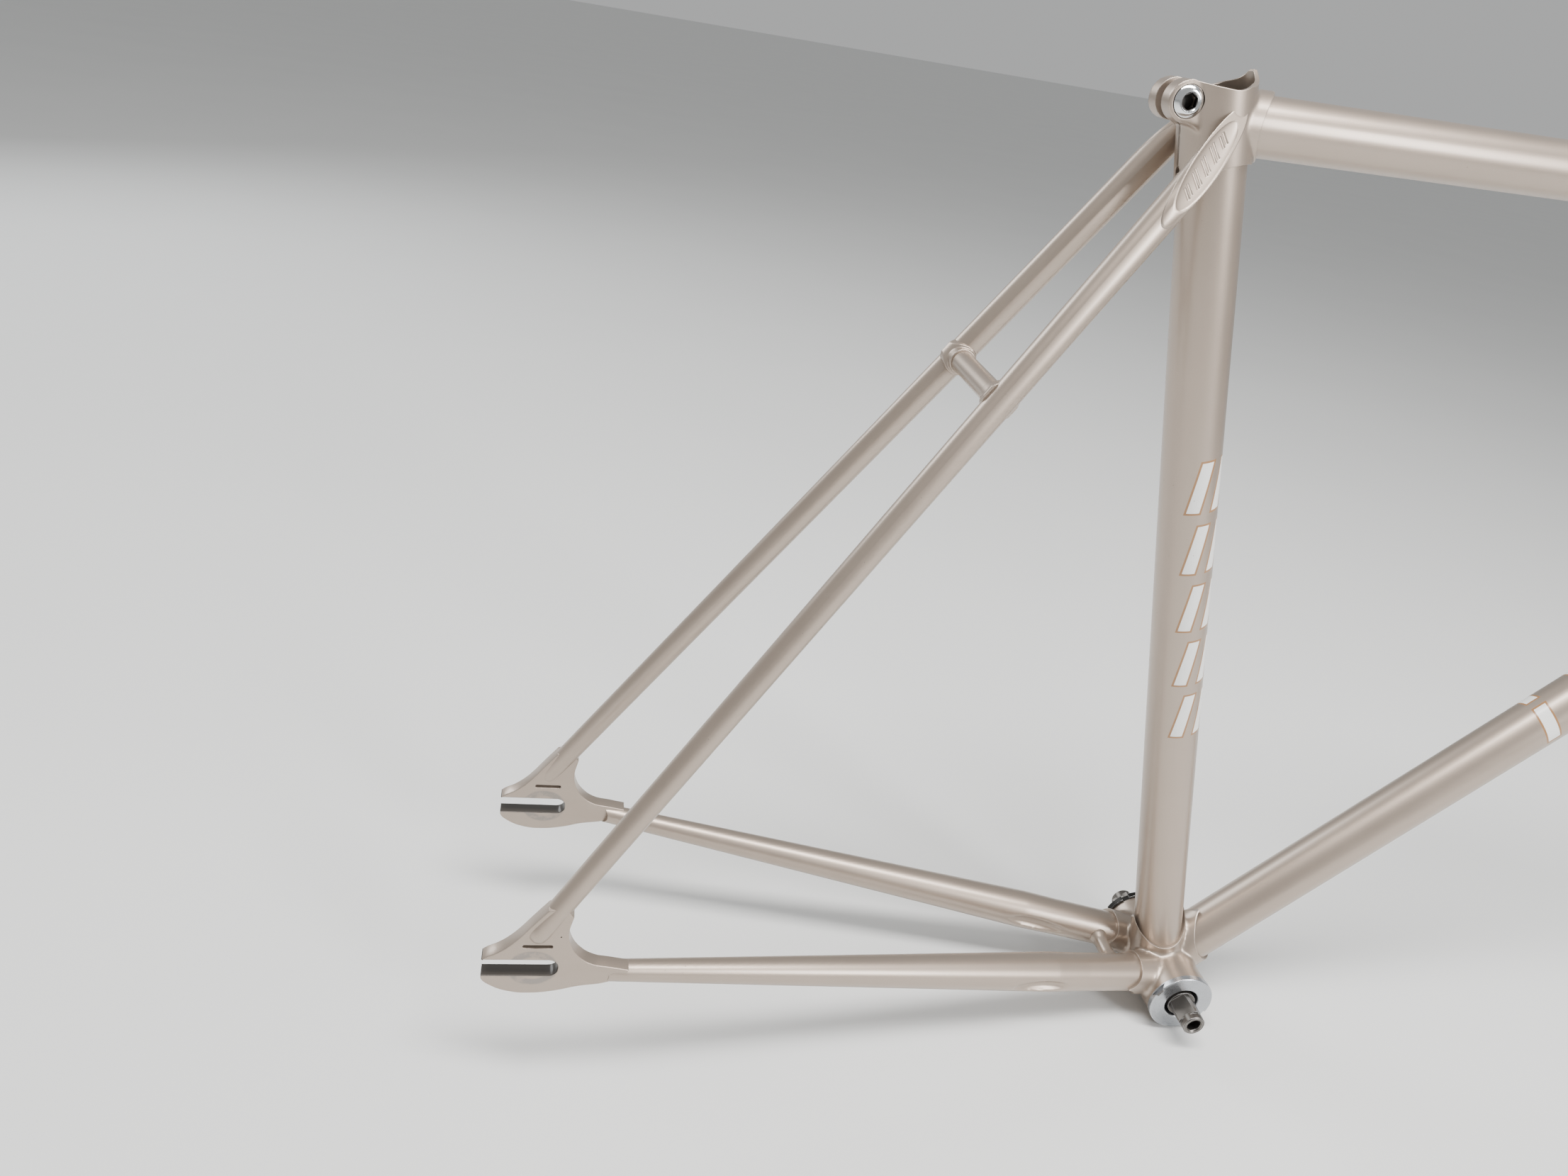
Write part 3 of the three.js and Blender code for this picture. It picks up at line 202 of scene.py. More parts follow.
class Socket:
    """One socket of a material's nodes. Arithmetic on values adds Math nodes."""

    def __init__(self, tree, socket):
        self.tree, self.socket = tree, socket

    def node(self, kind, settings=(), inputs=(), output=0):
        made = self.tree.nodes.new("ShaderNode" + kind)
        for name, value in dict(settings).items():
            setattr(made, name, value)
        for name, value in dict(inputs).items():
            if isinstance(value, Socket):
                self.tree.links.new(value.socket, made.inputs[name])
            else:
                made.inputs[name].default_value = value
        return Socket(self.tree, made.outputs[output])

    def math(self, operation, *values):
        return self.node("Math", {"operation": operation}, enumerate(values))

    def __add__(self, other):
        return self.math("ADD", self, other)

    def __radd__(self, other):
        return self.math("ADD", other, self)

    def __sub__(self, other):
        return self.math("SUBTRACT", self, other)

    def __rsub__(self, other):
        return self.math("SUBTRACT", other, self)

    def __mul__(self, other):
        return self.math("MULTIPLY", self, other)

    def __rmul__(self, other):
        return self.math("MULTIPLY", other, self)

    def vector(self, operation, other=None, output="Vector"):
        inputs = {0: self} if other is None else {0: self, 1: other}
        return self.node("VectorMath", {"operation": operation}, inputs, output)

    def split(self):
        parted = self.node("SeparateXYZ", (), {0: self}).socket.node
        return [Socket(self.tree, parted.outputs[axis]) for axis in "XYZ"]

    def size(self):
        return self.math("ABSOLUTE", self)

    def most(self, other):
        return self.math("MAXIMUM", self, other)

    def above(self, level, softness):
        """1 where the value is above the level, 0 below it, with a soft step between."""
        settings = {"interpolation_type": "SMOOTHSTEP"}
        return self.node("MapRange", settings, {"Value": self, "From Min": level - softness,
                                                "From Max": level + softness})

    def tint(self, under, over):
        """A colour that turns from one to the other as this mask goes from 0 to 1."""
        return self.node("Mix", {"data_type": "RGBA"}, {0: self, 6: under, 7: over}, 2)

    def noise(self, scale, detail=3, roughness=0.5):
        inputs = {"Vector": self, "Scale": scale, "Detail": detail, "Roughness": roughness}
        return self.node("TexNoise", (), inputs, "Fac")

    def shade(self, reach):
        """How much of the open sky is hidden by what is nearer than the reach."""
        return 1 - self.node("AmbientOcclusion", {"samples": 6}, {"Distance": reach}, "AO")

    def into(self, shader, name):
        self.tree.links.new(self.socket, shader.inputs[name])

    def bump_into(self, shader, strength, distance, rounded):
        """Bumps the shader's normal by this height, on top of a normal rounded over edges."""
        inputs = {"Strength": strength, "Distance": distance, "Height": self, "Normal": rounded}
        self.node("Bump", (), inputs, "Normal").into(shader, "Normal")


def new_finish(name, **constants):
    """A material, its shader with these constants set, and the Object coordinates."""
    material = bpy.data.materials.new(name)
    material.use_nodes = True
    tree = material.node_tree
    shader = tree.nodes["Principled BSDF"]
    for socket, value in constants.items():
        shader.inputs[socket.replace("_", " ")].default_value = value
    return material, shader, Socket(tree, tree.nodes.new("ShaderNodeTexCoord").outputs["Object"])


def edge_highlight_and_rounding(place, width):
    """A painted highlight mask along the piece's sharp outer edges, and the surface's normal rounded
    over them.
    """
    rounded = place.node("Bevel", {"samples": 4}, {"Radius": width}, "Normal")
    flat = place.node("NewGeometry", (), (), "Normal")
    return (1 - rounded.vector("DOT_PRODUCT", flat, "Value")).above(0.05, 0.045), rounded


CHAMPAGNE = (0.47, 0.39, 0.325, 1)
CHAMPAGNE_DUSTY = (0.375, 0.305, 0.25, 1)
# Painted highlight colour for the paint's sharp edges.
CHAMPAGNE_EDGE_HIGHLIGHT = (0.74, 0.66, 0.58, 1)
# Primer colour shown by chips, and also the colour of the painted shade in crevices.
PRIMER_AND_CREVICE_SHADE = (0.21, 0.18, 0.155, 1)


def champagne(name, marks=None, bare=None):
    """The frame's satin metallic paint, with painted marks on top, painted shade in its crevices,
    painted highlights on its sharp edges, and a near black painted shade on the bare steel where it
    stops.
    """
    material, shader, place = new_finish(name, Coat_Roughness=0.16, Coat_IOR=1.5, IOR=1.5)
    mottle = place.noise(26, 4, 0.55)
    flake = place.noise(2600, 1)
    handling = place.noise(7, 5, 0.6)
    edges, rounded = edge_highlight_and_rounding(place, 0.55 * MM)
    # Painted shade: the paint darkens in patches where nearby surfaces hide the sky, in crevices and
    # joints.
    crevice_shade = place.shade(5 * MM).above(0.52, 0.3) * (0.55 + 0.45 * handling)
    chips = place.noise(560, 2, 0.55).above(0.752, 0.010) * handling.above(0.56, 0.05)
    paint = (mottle * 0.5 + flake * 0.28).tint(CHAMPAGNE_DUSTY, CHAMPAGNE)
    # Painted highlight: the paint is lightened along sharp edges.
    paint = (edges * 0.5).tint(paint, CHAMPAGNE_EDGE_HIGHLIGHT)
    # The paint turns toward primer colour as painted shade in the crevices.
    paint = (crevice_shade * 0.6).tint(paint, PRIMER_AND_CREVICE_SHADE)
    gloss = 0.33 + handling * 0.08 + mottle * 0.05 + crevice_shade * 0.2 + chips * 0.2
    metal = 0.86 - crevice_shade * 0.3 - chips * 0.4
    coat = 0.42 - crevice_shade * 0.3 - chips * 0.3
    if marks:
        white, outline = marks(place)
        paint = outline.tint(paint, (0.30, 0.15, 0.055, 1))
        paint = white.tint(paint, (0.80, 0.80, 0.78, 1))
        metal = metal * (1 - outline)
        gloss = gloss - outline * 0.08
    paint = chips.tint(paint, PRIMER_AND_CREVICE_SHADE)
    if bare:
        unpainted_bore_shade = bare(place)
        # Inside the bore the coat stops, and the colour is a near black painted shade.
        paint = unpainted_bore_shade.tint(paint, (0.075, 0.065, 0.055, 1))
        gloss = gloss + unpainted_bore_shade * 0.2
        coat = coat * (1 - unpainted_bore_shade)
    paint.into(shader, "Base Color")
    metal.into(shader, "Metallic")
    gloss.into(shader, "Roughness")
    coat.into(shader, "Coat Weight")
    (flake * 0.02 + mottle * 0.12 - chips * 0.5).bump_into(shader, 0.12, 0.3 * MM, rounded)
    return material


def finish(piece, material, body, slot, *nodes):
    """Paints a piece, says what it rides on and hides the CAD nodes it stands for; the slot is not
    used.
    """
    piece.data.materials.clear()
    piece.data.materials.append(material)
    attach(piece, body)
    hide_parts(*nodes)


def inside_bore(axis, radius):
    """A mask of what lies nearer than the radius to an axis through the bottom bracket."""
    def mask(place):
        reach = place.vector("CROSS_PRODUCT", axis).vector("LENGTH", output="Value")
        return 1 - reach.above(radius, 0.05 * MM)
    return mask


PAINT = champagne("champagne_paint")
# The shell's bore takes the near black painted shade.
SHELL_PAINT = champagne("champagne_paint_shell", bare=inside_bore(ACROSS, SHELL_BORE + 0.3 * MM))
finish(shell, SHELL_PAINT, "frame", "paint", "bottom_bracket_shell")

# --------------------------------------
# Seat tube. A drawn steel tube, mitred round the bottom bracket and slotted at the back of its
# top. It carries a column of slanted white marks with gold brown outlines, under the clear coat.

SEAT_LENGTH = 501 * MM
SEATPOST_BORE = 13.6 * MM
SEAT_CLUSTER = SEAT_UP * SEAT_LENGTH
SEAT_BACK = Vector((-SEAT_UP.z, 0, SEAT_UP.x))
LUG_TOP = SEAT_CLUSTER.z + 14.6 * MM * SEAT_UP.z
SLOT_FOOT = SEAT_UP * (SEAT_LENGTH - 19 * MM)
TUBE_FOOT = 17 * MM               # where a tube starts, from the bracket's centre
SLOT_HALF_WIDTH = 1.1 * MM
RELIEF_HOLE = 2.2 * MM
MARKS_FIRST = 184 * MM
MARKS_PITCH = 34 * MM
MARKS_COUNT = 5
MARKS_HEIGHT = 28.5 * MM
MARK_BORDER = 1.1 * MM
MARK_EDGE = 0.05 * MM             # softness of a painted edge


def turned(name, start, direction, outline, sides=96):
    """A piece turned round a line, from its closed outline of (radius, distance) corners."""
    solid = outline[0][0] == 0
    rings = [(max(radius, 1e-6), height) for radius, height in outline]
    if not solid:
        rings = rings + rings[:1]
    bpy.ops.object.select_all(action="DESELECT")
    radius, height = rings[0]
    bpy.ops.mesh.primitive_circle_add(vertices=sides, radius=radius, location=(0, 0, height))
    made = bpy.context.object
    made.name = name
    bpy.ops.object.mode_set(mode="EDIT")
    for next_radius, next_height in rings[1:]:
        step = {"value": (0, 0, next_height - height)}
        bpy.ops.mesh.extrude_region_move(TRANSFORM_OT_translate=step)
        grow = next_radius / radius
        bpy.ops.transform.resize(value=(grow, grow, 1), center_override=(0, 0, next_height))
        radius, height = next_radius, next_height
    bpy.ops.mesh.select_all(action="SELECT")
    bpy.ops.mesh.remove_doubles(threshold=4e-6)
    bpy.ops.mesh.normals_make_consistent(inside=False)
    bpy.ops.object.mode_set(mode="OBJECT")
    bpy.ops.object.transform_apply()
    made.rotation_euler = Vector(direction).to_track_quat("Z", "Y").to_euler()
    made.location = start
    bpy.ops.object.transform_apply()
    return made


def rear_slot():
    """The saw cut down the back of the seat tube and its lug, with its relief hole."""
    length = 0.06
    saw = block((0, -SLOT_HALF_WIDTH, 0), (0.04, SLOT_HALF_WIDTH, length))
    saw.data.transform(Matrix((SEAT_BACK, ACROSS, SEAT_UP)).transposed().to_4x4())
    saw.data.transform(Matrix.Translation(SLOT_FOOT))
    relief = cutter(SLOT_FOOT + SEAT_BACK * MM, SLOT_FOOT + SEAT_BACK * 0.04, RELIEF_HOLE)
    return combine(saw, "UNION", relief)


def slanted_marks(across, along, first, pitch, count, height, middles, half_width, slant):
    """Masks of white strokes and of their outline, from the place along and round a tube."""
    step = (along - first) * (1 / pitch)
    inside = step.above(0, 0.001) * (1 - step.above(count, 0.001))
    up = (step - step.math("FLOOR", step)) * pitch
    masks = []
    for border in (0, MARK_BORDER):
        level = up - height / 2
        reach = height / 2 - MARK_BORDER + border
        high = 1 - level.size().above(reach, MARK_EDGE)
        stroke = None
        for middle in middles:
            offset = across - middle - level * slant
            wide = 1 - offset.size().above(half_width + border, MARK_EDGE)
            stroke = wide if stroke is None else stroke.most(wide)
        masks.append(stroke * high * inside)
    return masks


def along_and_round(place, axis, front, radius):
    """Distance along a tube, and round it from its front, to the right."""
    along, forward, sideways = (
        place.vector("DOT_PRODUCT", way, "Value") for way in (axis, front, -ACROSS))
    return along, place.math("ARCTAN2", sideways, forward) * radius


def seat_marks(place):
    """The marks up the seat tube's right side, two strokes to each."""
    along, across = along_and_round(place, SEAT_UP, -SEAT_BACK, SEAT_TUBE)
    return slanted_marks(across, along, MARKS_FIRST, MARKS_PITCH, MARKS_COUNT, MARKS_HEIGHT,
                         (10.4 * MM, 23.5 * MM), 3.1 * MM, -0.24)


tube_top = LUG_TOP - 1.9 * MM      # just below the lug's rim
seat_tube = turned("seat_tube", BRACKET, SEAT_UP, [
    (SEAT_TUBE, TUBE_FOOT), (SEAT_TUBE, 0.54), (SEATPOST_BORE, 0.54), (SEATPOST_BORE, TUBE_FOOT)])
combine(seat_tube, "DIFFERENCE",
        block((-0.3, -0.05, tube_top), (0.1, 0.05, 0.6)),
        rear_slot(),
        cutter(DOWN_UP * 5 * MM, DOWN_UP * 0.09, DOWN_TUBE),
        cross_bar(BRACKET, SHELL_BORE + 0.3 * MM))
smooth(seat_tube)
# The seat tube's bore takes the near black painted shade.
SEAT_TUBE_PAINT = champagne("champagne_paint_seat_tube", seat_marks,
                            inside_bore(SEAT_UP, SEATPOST_BORE + 0.2 * MM))
finish(seat_tube, SEAT_TUBE_PAINT, "frame", "paint", "seat_tube")

# --------------------------------------
# Down tube. A drawn steel tube between the shell and the lower head lug, mitred at both ends,
# with a row of the same painted marks on each flank.

HEAD_ANGLE = radians(74.5)
HEAD_DOWN = Vector((cos(HEAD_ANGLE), 0, -sin(HEAD_ANGLE)))
TOP_ANGLE = radians(1.2)
TOP_FORWARD = Vector((cos(TOP_ANGLE), 0, sin(TOP_ANGLE)))
TOP_LENGTH = 525 * MM
HEAD_CROSSING = SEAT_CLUSTER + TOP_FORWARD * TOP_LENGTH
HEAD_DROP = 69.06 * MM            # top tube's crossing to the down tube's, along the head tube
HEAD_TUBE = 15.9 * MM
HEAD_BORE = 15.1 * MM
DOWN_CROSSING = HEAD_CROSSING + HEAD_DOWN * HEAD_DROP
TUBE_WALL = 0.8 * MM


def down_marks(place):
    """The marks on both flanks of the down tube."""
    top = Vector((-DOWN_UP.z, 0, DOWN_UP.x))
    along, across = along_and_round(place, DOWN_UP, top, DOWN_TUBE)
    mirrored = across.size()
    return slanted_marks(along + mirrored * 0.2, mirrored, 2 * MM, 26 * MM, 1, 24 * MM,
                         [(272 + 30 * mark) * MM for mark in range(5)], 3.6 * MM, 0)


down_tube = turned("down_tube", BRACKET, DOWN_UP, [
    (DOWN_TUBE, TUBE_FOOT), (DOWN_TUBE, DOWN_CROSSING.length),
    (DOWN_TUBE - TUBE_WALL, DOWN_CROSSING.length), (DOWN_TUBE - TUBE_WALL, TUBE_FOOT)])
head_reach = HEAD_DOWN * 0.2
combine(down_tube, "DIFFERENCE",
        cutter(HEAD_CROSSING - head_reach, HEAD_CROSSING + head_reach, HEAD_TUBE),
        cross_bar(BRACKET, SHELL_BORE + 0.3 * MM))
smooth(down_tube)
finish(down_tube, champagne("champagne_paint_down_tube", down_marks), "frame", "paint", "down_tube")

# --------------------------------------
# Top tube. A thinner drawn tube, mitred round the seat tube and the head tube.

TOP_TUBE = 12.7 * MM

top_tube = turned("top_tube", SEAT_CLUSTER, TOP_FORWARD, [
    (TOP_TUBE, 0), (TOP_TUBE, TOP_LENGTH),
    (TOP_TUBE - TUBE_WALL, TOP_LENGTH), (TOP_TUBE - TUBE_WALL, 0)])
combine(top_tube, "DIFFERENCE",
        cutter(HEAD_CROSSING - head_reach, HEAD_CROSSING + head_reach, HEAD_TUBE),
        cutter(SEAT_UP * 0.4, SEAT_UP * 0.6, SEAT_TUBE))
smooth(top_tube)
finish(top_tube, PAINT, "frame", "paint", "top_tube")

# --------------------------------------
# Head tube and its two lugs. The tube takes the headset cups at its ends, so both ends are
# faced square and lightly bevelled. Each lug is a casting brazed round the tube, with a socket for a
# frame tube.

HEAD_ABOVE = 25 * MM
HEAD_FOOT = 101.06 * MM
HEAD_SOCKET_SIDE = 20 * MM
HEAD_LUG_REACH = 20 * MM

head_tube = turned("head_tube", HEAD_CROSSING, HEAD_DOWN, [
    (HEAD_TUBE, -HEAD_ABOVE), (HEAD_TUBE, HEAD_FOOT), (HEAD_BORE, HEAD_FOOT), (HEAD_BORE, -HEAD_ABOVE)])
apply(head_tube, "BEVEL", width=0.25 * MM, segments=2, limit_method="ANGLE")
smooth(head_tube)
finish(head_tube, PAINT, "frame", "paint", "head_tube")


def head_lug(name, crossing, back, tube, low, high):
    """A head lug, open from low to high along the head tube, with its socket facing back."""
    outer, socket = HEAD_TUBE + LUG_WALL, tube + LUG_WALL
    lug = bar(name, HEAD_CROSSING + HEAD_DOWN * (low - 6 * MM),
              HEAD_CROSSING + HEAD_DOWN * (high + 6 * MM), outer)
    combine(lug, "UNION", bar("socket", crossing, crossing + back * 0.045, socket))
    cast(lug, CASTING_GRAIN, 14)
    edge = crossing + back * (HEAD_SOCKET_SIDE + SOCKET_SWEEP)
    combine(lug, "DIFFERENCE",
            cross_bar(edge, SOCKET_SWEEP),
            cutter(edge, edge + back * 0.05, 0.03),
            cutter(HEAD_CROSSING + HEAD_DOWN * (low - 0.05), HEAD_CROSSING + HEAD_DOWN * low, 0.04),
            cutter(HEAD_CROSSING + HEAD_DOWN * high, HEAD_CROSSING + HEAD_DOWN * (high + 0.05), 0.04),
            cutter(HEAD_CROSSING - head_reach, HEAD_CROSSING + head_reach, HEAD_TUBE - BRAZED_IN),
            cutter(crossing, crossing + back * 0.09, tube - BRAZED_IN))
    smooth(lug)
    finish(lug, PAINT, "frame", "paint", name)


head_lug("upper_head_lug", HEAD_CROSSING, -TOP_FORWARD, TOP_TUBE, 0.2 * MM - HEAD_ABOVE,
         HEAD_LUG_REACH)
head_lug("lower_head_lug", DOWN_CROSSING, -DOWN_UP, DOWN_TUBE, HEAD_DROP - HEAD_LUG_REACH,
         HEAD_FOOT - 0.2 * MM)

# --------------------------------------
# Seat lug. A casting that joins the seat tube and the top tube, and carries two clamp ears for
# the binder bolt. Its rim swoops up to a thin point in front of the seat post.

SEAT_LUG = SEAT_TUBE + LUG_WALL
EAR_RADIUS = 8.5 * MM
EAR_FACE = 10.75 * MM
EAR_SPLIT = 3 * MM
BINDER = Vector((SEAT_CLUSTER.x - 20 * MM, 0, LUG_TOP - EAR_RADIUS))
SPIKE_HEIGHT = 7.6 * MM
SPIKE_SWEEP = 13.5 * MM
SPIKE_SLOPE = 30 * MM             # radius of the slopes beside the point
SPIKE_HALF_TIP = 1.3 * MM
RIM_DIP = 1.2 * MM                # the rim is this much lower between the ears and the point
SKIRT_SWEEP = 28 * MM
SKIRT_AHEAD = 4.2 * MM
SKIRT_BELOW = 17.3 * MM           # top tube's centre line to the lug's lower edge, at its side
WEB_SWEEP = 13 * MM

lug = bar("seat_lug", SEAT_UP * (SEAT_LENGTH - 36 * MM), SEAT_UP * (SEAT_LENGTH + 40 * MM), SEAT_LUG)
combine(lug, "UNION",
        bar("socket", SEAT_CLUSTER, SEAT_CLUSTER + TOP_FORWARD * 0.04, TOP_TUBE + LUG_WALL))
ears = cross_bar(BINDER, EAR_RADIUS, EAR_FACE)
web = block((BINDER.x, -EAR_FACE, BINDER.z - 2 * EAR_RADIUS),
            (SEAT_CLUSTER.x - 4 * MM, EAR_FACE, LUG_TOP + 4 * MM))
under_ears = Vector((BINDER.x + MM, 0, BINDER.z - EAR_RADIUS - WEB_SWEEP))
combine(web, "DIFFERENCE", cross_bar(under_ears, WEB_SWEEP))
combine(ears, "UNION", web)
apply(ears, "BEVEL", width=0.5 * MM, segments=2, limit_method="ANGLE")
combine(lug, "UNION", ears)
cast(lug, 0.7 * MM, 8)

rim_axis = SEAT_CLUSTER.x + (LUG_TOP - SEAT_CLUSTER.z) / SEAT_UP.z * SEAT_UP.x
sweep_x = rim_axis + SEAT_TUBE - SPIKE_SWEEP - 0.3 * MM
tip = LUG_TOP + SPIKE_HEIGHT
skirt_drop = SEAT_LENGTH - SKIRT_BELOW - sqrt(SKIRT_SWEEP ** 2 - SKIRT_AHEAD ** 2)
skirt_centre = SEAT_UP * skirt_drop - SEAT_BACK * SKIRT_AHEAD
far = 0.06
rim_low = LUG_TOP - RIM_DIP
dip_span = 17 * MM
dip_sweep = (dip_span ** 2 + RIM_DIP ** 2) / (2 * RIM_DIP)
dip_centre = Vector((sweep_x, 0, rim_low + dip_sweep))
dip = bar("dip", dip_centre - ACROSS * far, dip_centre + ACROSS * far, dip_sweep, sides=720)
combine(dip, "INTERSECT",
        block((rim_axis - far, -0.8 * far, rim_low - MM), (sweep_x, 0.8 * far, tip + 5 * MM)))
combine(lug, "DIFFERENCE",
        dip,
        block((rim_axis - far, -far, tip), (rim_axis + far, far, tip + far)),
        block((rim_axis - far, -far, LUG_TOP), (sweep_x, far, tip + 5 * MM)),
        cross_bar(Vector((sweep_x, 0, rim_low + SPIKE_SWEEP)), SPIKE_SWEEP),
        cross_bar(skirt_centre, SKIRT_SWEEP))
slope_reach = sqrt(SPIKE_SLOPE ** 2 - (SPIKE_SLOPE - SPIKE_HEIGHT) ** 2)
for side in SIDES.values():
    beside = Vector((0, side * (SPIKE_HALF_TIP + slope_reach), LUG_TOP + SPIKE_SLOPE))
    combine(lug, "DIFFERENCE",
            cutter(Vector((-0.2, beside.y, beside.z)), Vector((-0.05, beside.y, beside.z)),
                SPIKE_SLOPE, sides=192))
SEAT_SOCKET_SIDE = 13.6 * MM
SEAT_SOCKET_SWEEP = 17 * MM
edge = SEAT_CLUSTER + TOP_FORWARD * (SEAT_SOCKET_SIDE + SEAT_SOCKET_SWEEP)
bolt_head_hole = 6.75 * MM
combine(lug, "DIFFERENCE",
        cross_bar(edge, SEAT_SOCKET_SWEEP),
        cutter(edge, edge + TOP_FORWARD * 0.03, 0.022),
        cutter(SEAT_UP * 0.4, SEAT_UP * 0.6, SEAT_TUBE - BRAZED_IN),
        cutter(SEAT_CLUSTER, SEAT_CLUSTER + TOP_FORWARD * 0.09, TOP_TUBE - BRAZED_IN),
        rear_slot(),
        block((BINDER.x - 0.03, -EAR_SPLIT, BINDER.z - 0.02),
              (BINDER.x + 3 * MM, EAR_SPLIT, BINDER.z + 0.02)),
        cross_bar(BINDER, 3.3 * MM),
        cutter(BINDER + ACROSS * (EAR_FACE - 1.2 * MM), BINDER + ACROSS * 0.03, bolt_head_hole),
        cutter(BINDER - ACROSS * (EAR_FACE - 1.2 * MM), BINDER - ACROSS * 0.03, bolt_head_hole))
smooth(lug)
finish(lug, PAINT, "frame", "paint", "seat_lug")

# --------------------------------------
# Binder bolt and nut. A chromed bolt with a domed head and a hexagon hole squeezes the two ears
# together. Its nut has a sleeve in the other ear.

BOLT_HEAD = 6.5 * MM
HEX_RADIUS = 3 * MM / cos(pi / 6)
HEX_CORNER = 3.5 * MM             # what is nearer than this to the bolt's axis is in its shade


def chrome(name):
    """Bright chrome plate with fine rubbing marks, and painted shade that greys its corners and
    blackens its hex hole.
    """
    material, shader, place = new_finish(name, Metallic=1.0)
    smear = place.noise(320, 3, 0.6)
    away = place.vector("SUBTRACT", BINDER).vector("CROSS_PRODUCT", ACROSS)
    hollow = 1 - away.vector("LENGTH", output="Value").above(HEX_CORNER, 0.06 * MM)
    # Painted shade: near black inside the hex hole, and grey where nearby surfaces hide the sky.
    hole_and_corner_shade = place.shade(2 * MM).above(0.5, 0.3).most(hollow)
    hole_and_corner_shade.tint((0.78, 0.79, 0.80, 1), (0.045, 0.042, 0.04, 1)).into(shader, "Base Color")
    (0.07 + smear * 0.1 + hole_and_corner_shade * 0.35).into(shader, "Roughness")
    smear.bump_into(shader, 0.1, 0.05 * MM, edge_highlight_and_rounding(place, 0.2 * MM)[1])
    return material


seat = EAR_FACE - 1.2 * MM
bolt = turned("binder_bolt", BINDER, -ACROSS, [
    (0, -8.6 * MM), (3 * MM, -8.6 * MM), (3 * MM, seat), (BOLT_HEAD, seat),
    (BOLT_HEAD, seat + 1.5 * MM),
    (BOLT_HEAD - 0.5 * MM, seat + 2.1 * MM), (4.9 * MM, seat + 2.75 * MM), (4.5 * MM, seat + 2.9 * MM),
    (3.9 * MM, seat + 2.9 * MM), (3.5 * MM, seat + 2.4 * MM), (0, seat + 2.4 * MM)])
combine(bolt, "DIFFERENCE", cutter(BINDER - ACROSS * (seat - 2 * MM), BINDER - ACROSS * 0.03,
                                2.9 * MM, sides=48))
combine(bolt, "DIFFERENCE", cutter(BINDER - ACROSS * (seat - 1.5 * MM), BINDER - ACROSS * 0.03,
                                HEX_RADIUS, sides=6))
smooth(bolt)
CHROME = chrome("bolt_chrome")
finish(bolt, CHROME, "frame", "bolt_chrome", "binder_bolt")

nut = turned("binder_nut", BINDER, ACROSS, [
    (3.3 * MM, 6.4 * MM), (4.3 * MM, 6.4 * MM), (4.3 * MM, seat), (BOLT_HEAD, seat),
    (BOLT_HEAD, seat + 1.4 * MM), (BOLT_HEAD - 0.7 * MM, seat + 2.1 * MM), (3.3 * MM, seat + 2.1 * MM)])
smooth(nut)
finish(nut, CHROME, "frame", "bolt_chrome", "binder_nut")

# --------------------------------------
# Chainstays. Tapered steel stays from the shell to the dropouts. Each is pressed in on its inner
# side to clear the tyre and on its outer side to clear the crank.

STAY_TIP = 5.4 * MM
PARALLEL = 66 * MM


def pressed(piece, line, distance, side, size, depth, lift=0, tilt=0):
    """Presses an oval dimple into one flank of a stay; size is half its length and height."""
    start, end = line
    along = (end - start).normalized()
    centre = start + along * distance
    tapered = (distance - PARALLEL) / ((end - start).length - PARALLEL)
    radius = CHAINSTAY - tapered * (CHAINSTAY - STAY_TIP)
    thick = 4 * depth
    bpy.ops.object.select_all(action="DESELECT")
    bpy.ops.mesh.primitive_uv_sphere_add(segments=48, ring_count=32, radius=1)
    die = bpy.context.object
    die.data.transform(Matrix.Diagonal((size[0], thick, size[1], 1)))
    die.data.transform(Matrix.Rotation(tilt, 4, "Y"))
    die.data.transform(along.to_track_quat("X", "Z").to_matrix().to_4x4())
    out = Vector((0, side, 0))
    out = (out - along * out.dot(along)).normalized()
    centre = centre + out * (radius + thick - depth) + Vector((0, 0, lift))
    die.data.transform(Matrix.Translation(centre))
    return combine(piece, "DIFFERENCE", die)


for name, side in SIDES.items():
    start, end = chainstay_line(side)
    length = (end - start).length
    stay = turned("chainstay_" + name, start, (end - start).normalized(), [
        (0, 8 * MM), (CHAINSTAY, 8 * MM), (CHAINSTAY, PARALLEL), (CHAINSTAY * 1.04, PARALLEL + 22 * MM),
        (CHAINSTAY * 0.96, PARALLEL + 60 * MM), (STAY_TIP, length + 3 * MM), (0, length + 3 * MM)])
    pressed(stay, (start, end), 100 * MM, side, (27 * MM, 6.2 * MM), 3.2 * MM, -1.2 * MM, radians(4))
    pressed(stay, (start, end), 79 * MM, -side, (29 * MM, 6.6 * MM), 2.8 * MM, -1.0 * MM, radians(-3))
    cast(stay, 0.8 * MM, 7)
    combine(stay, "DIFFERENCE", cross_bar(BRACKET, SHELL_BORE + 0.3 * MM),
            cutter(SEAT_UP * 5 * MM, SEAT_UP * 0.09, SEAT_TUBE),
            cross_bar(end + (end - start).normalized() * 1.5 * MM, STAY_TIP + MM, 0.09))
    smooth(stay, 40)
    finish(stay, PAINT, "frame", "paint", "chainstay_" + name)

# --------------------------------------
# Seat stays and their caps. Slim tapered stays whose tops are cut on a long slant. A dished cap
# with a raised rim and shallow slanted grooves closes each cut, brazed to the seat lug's side.

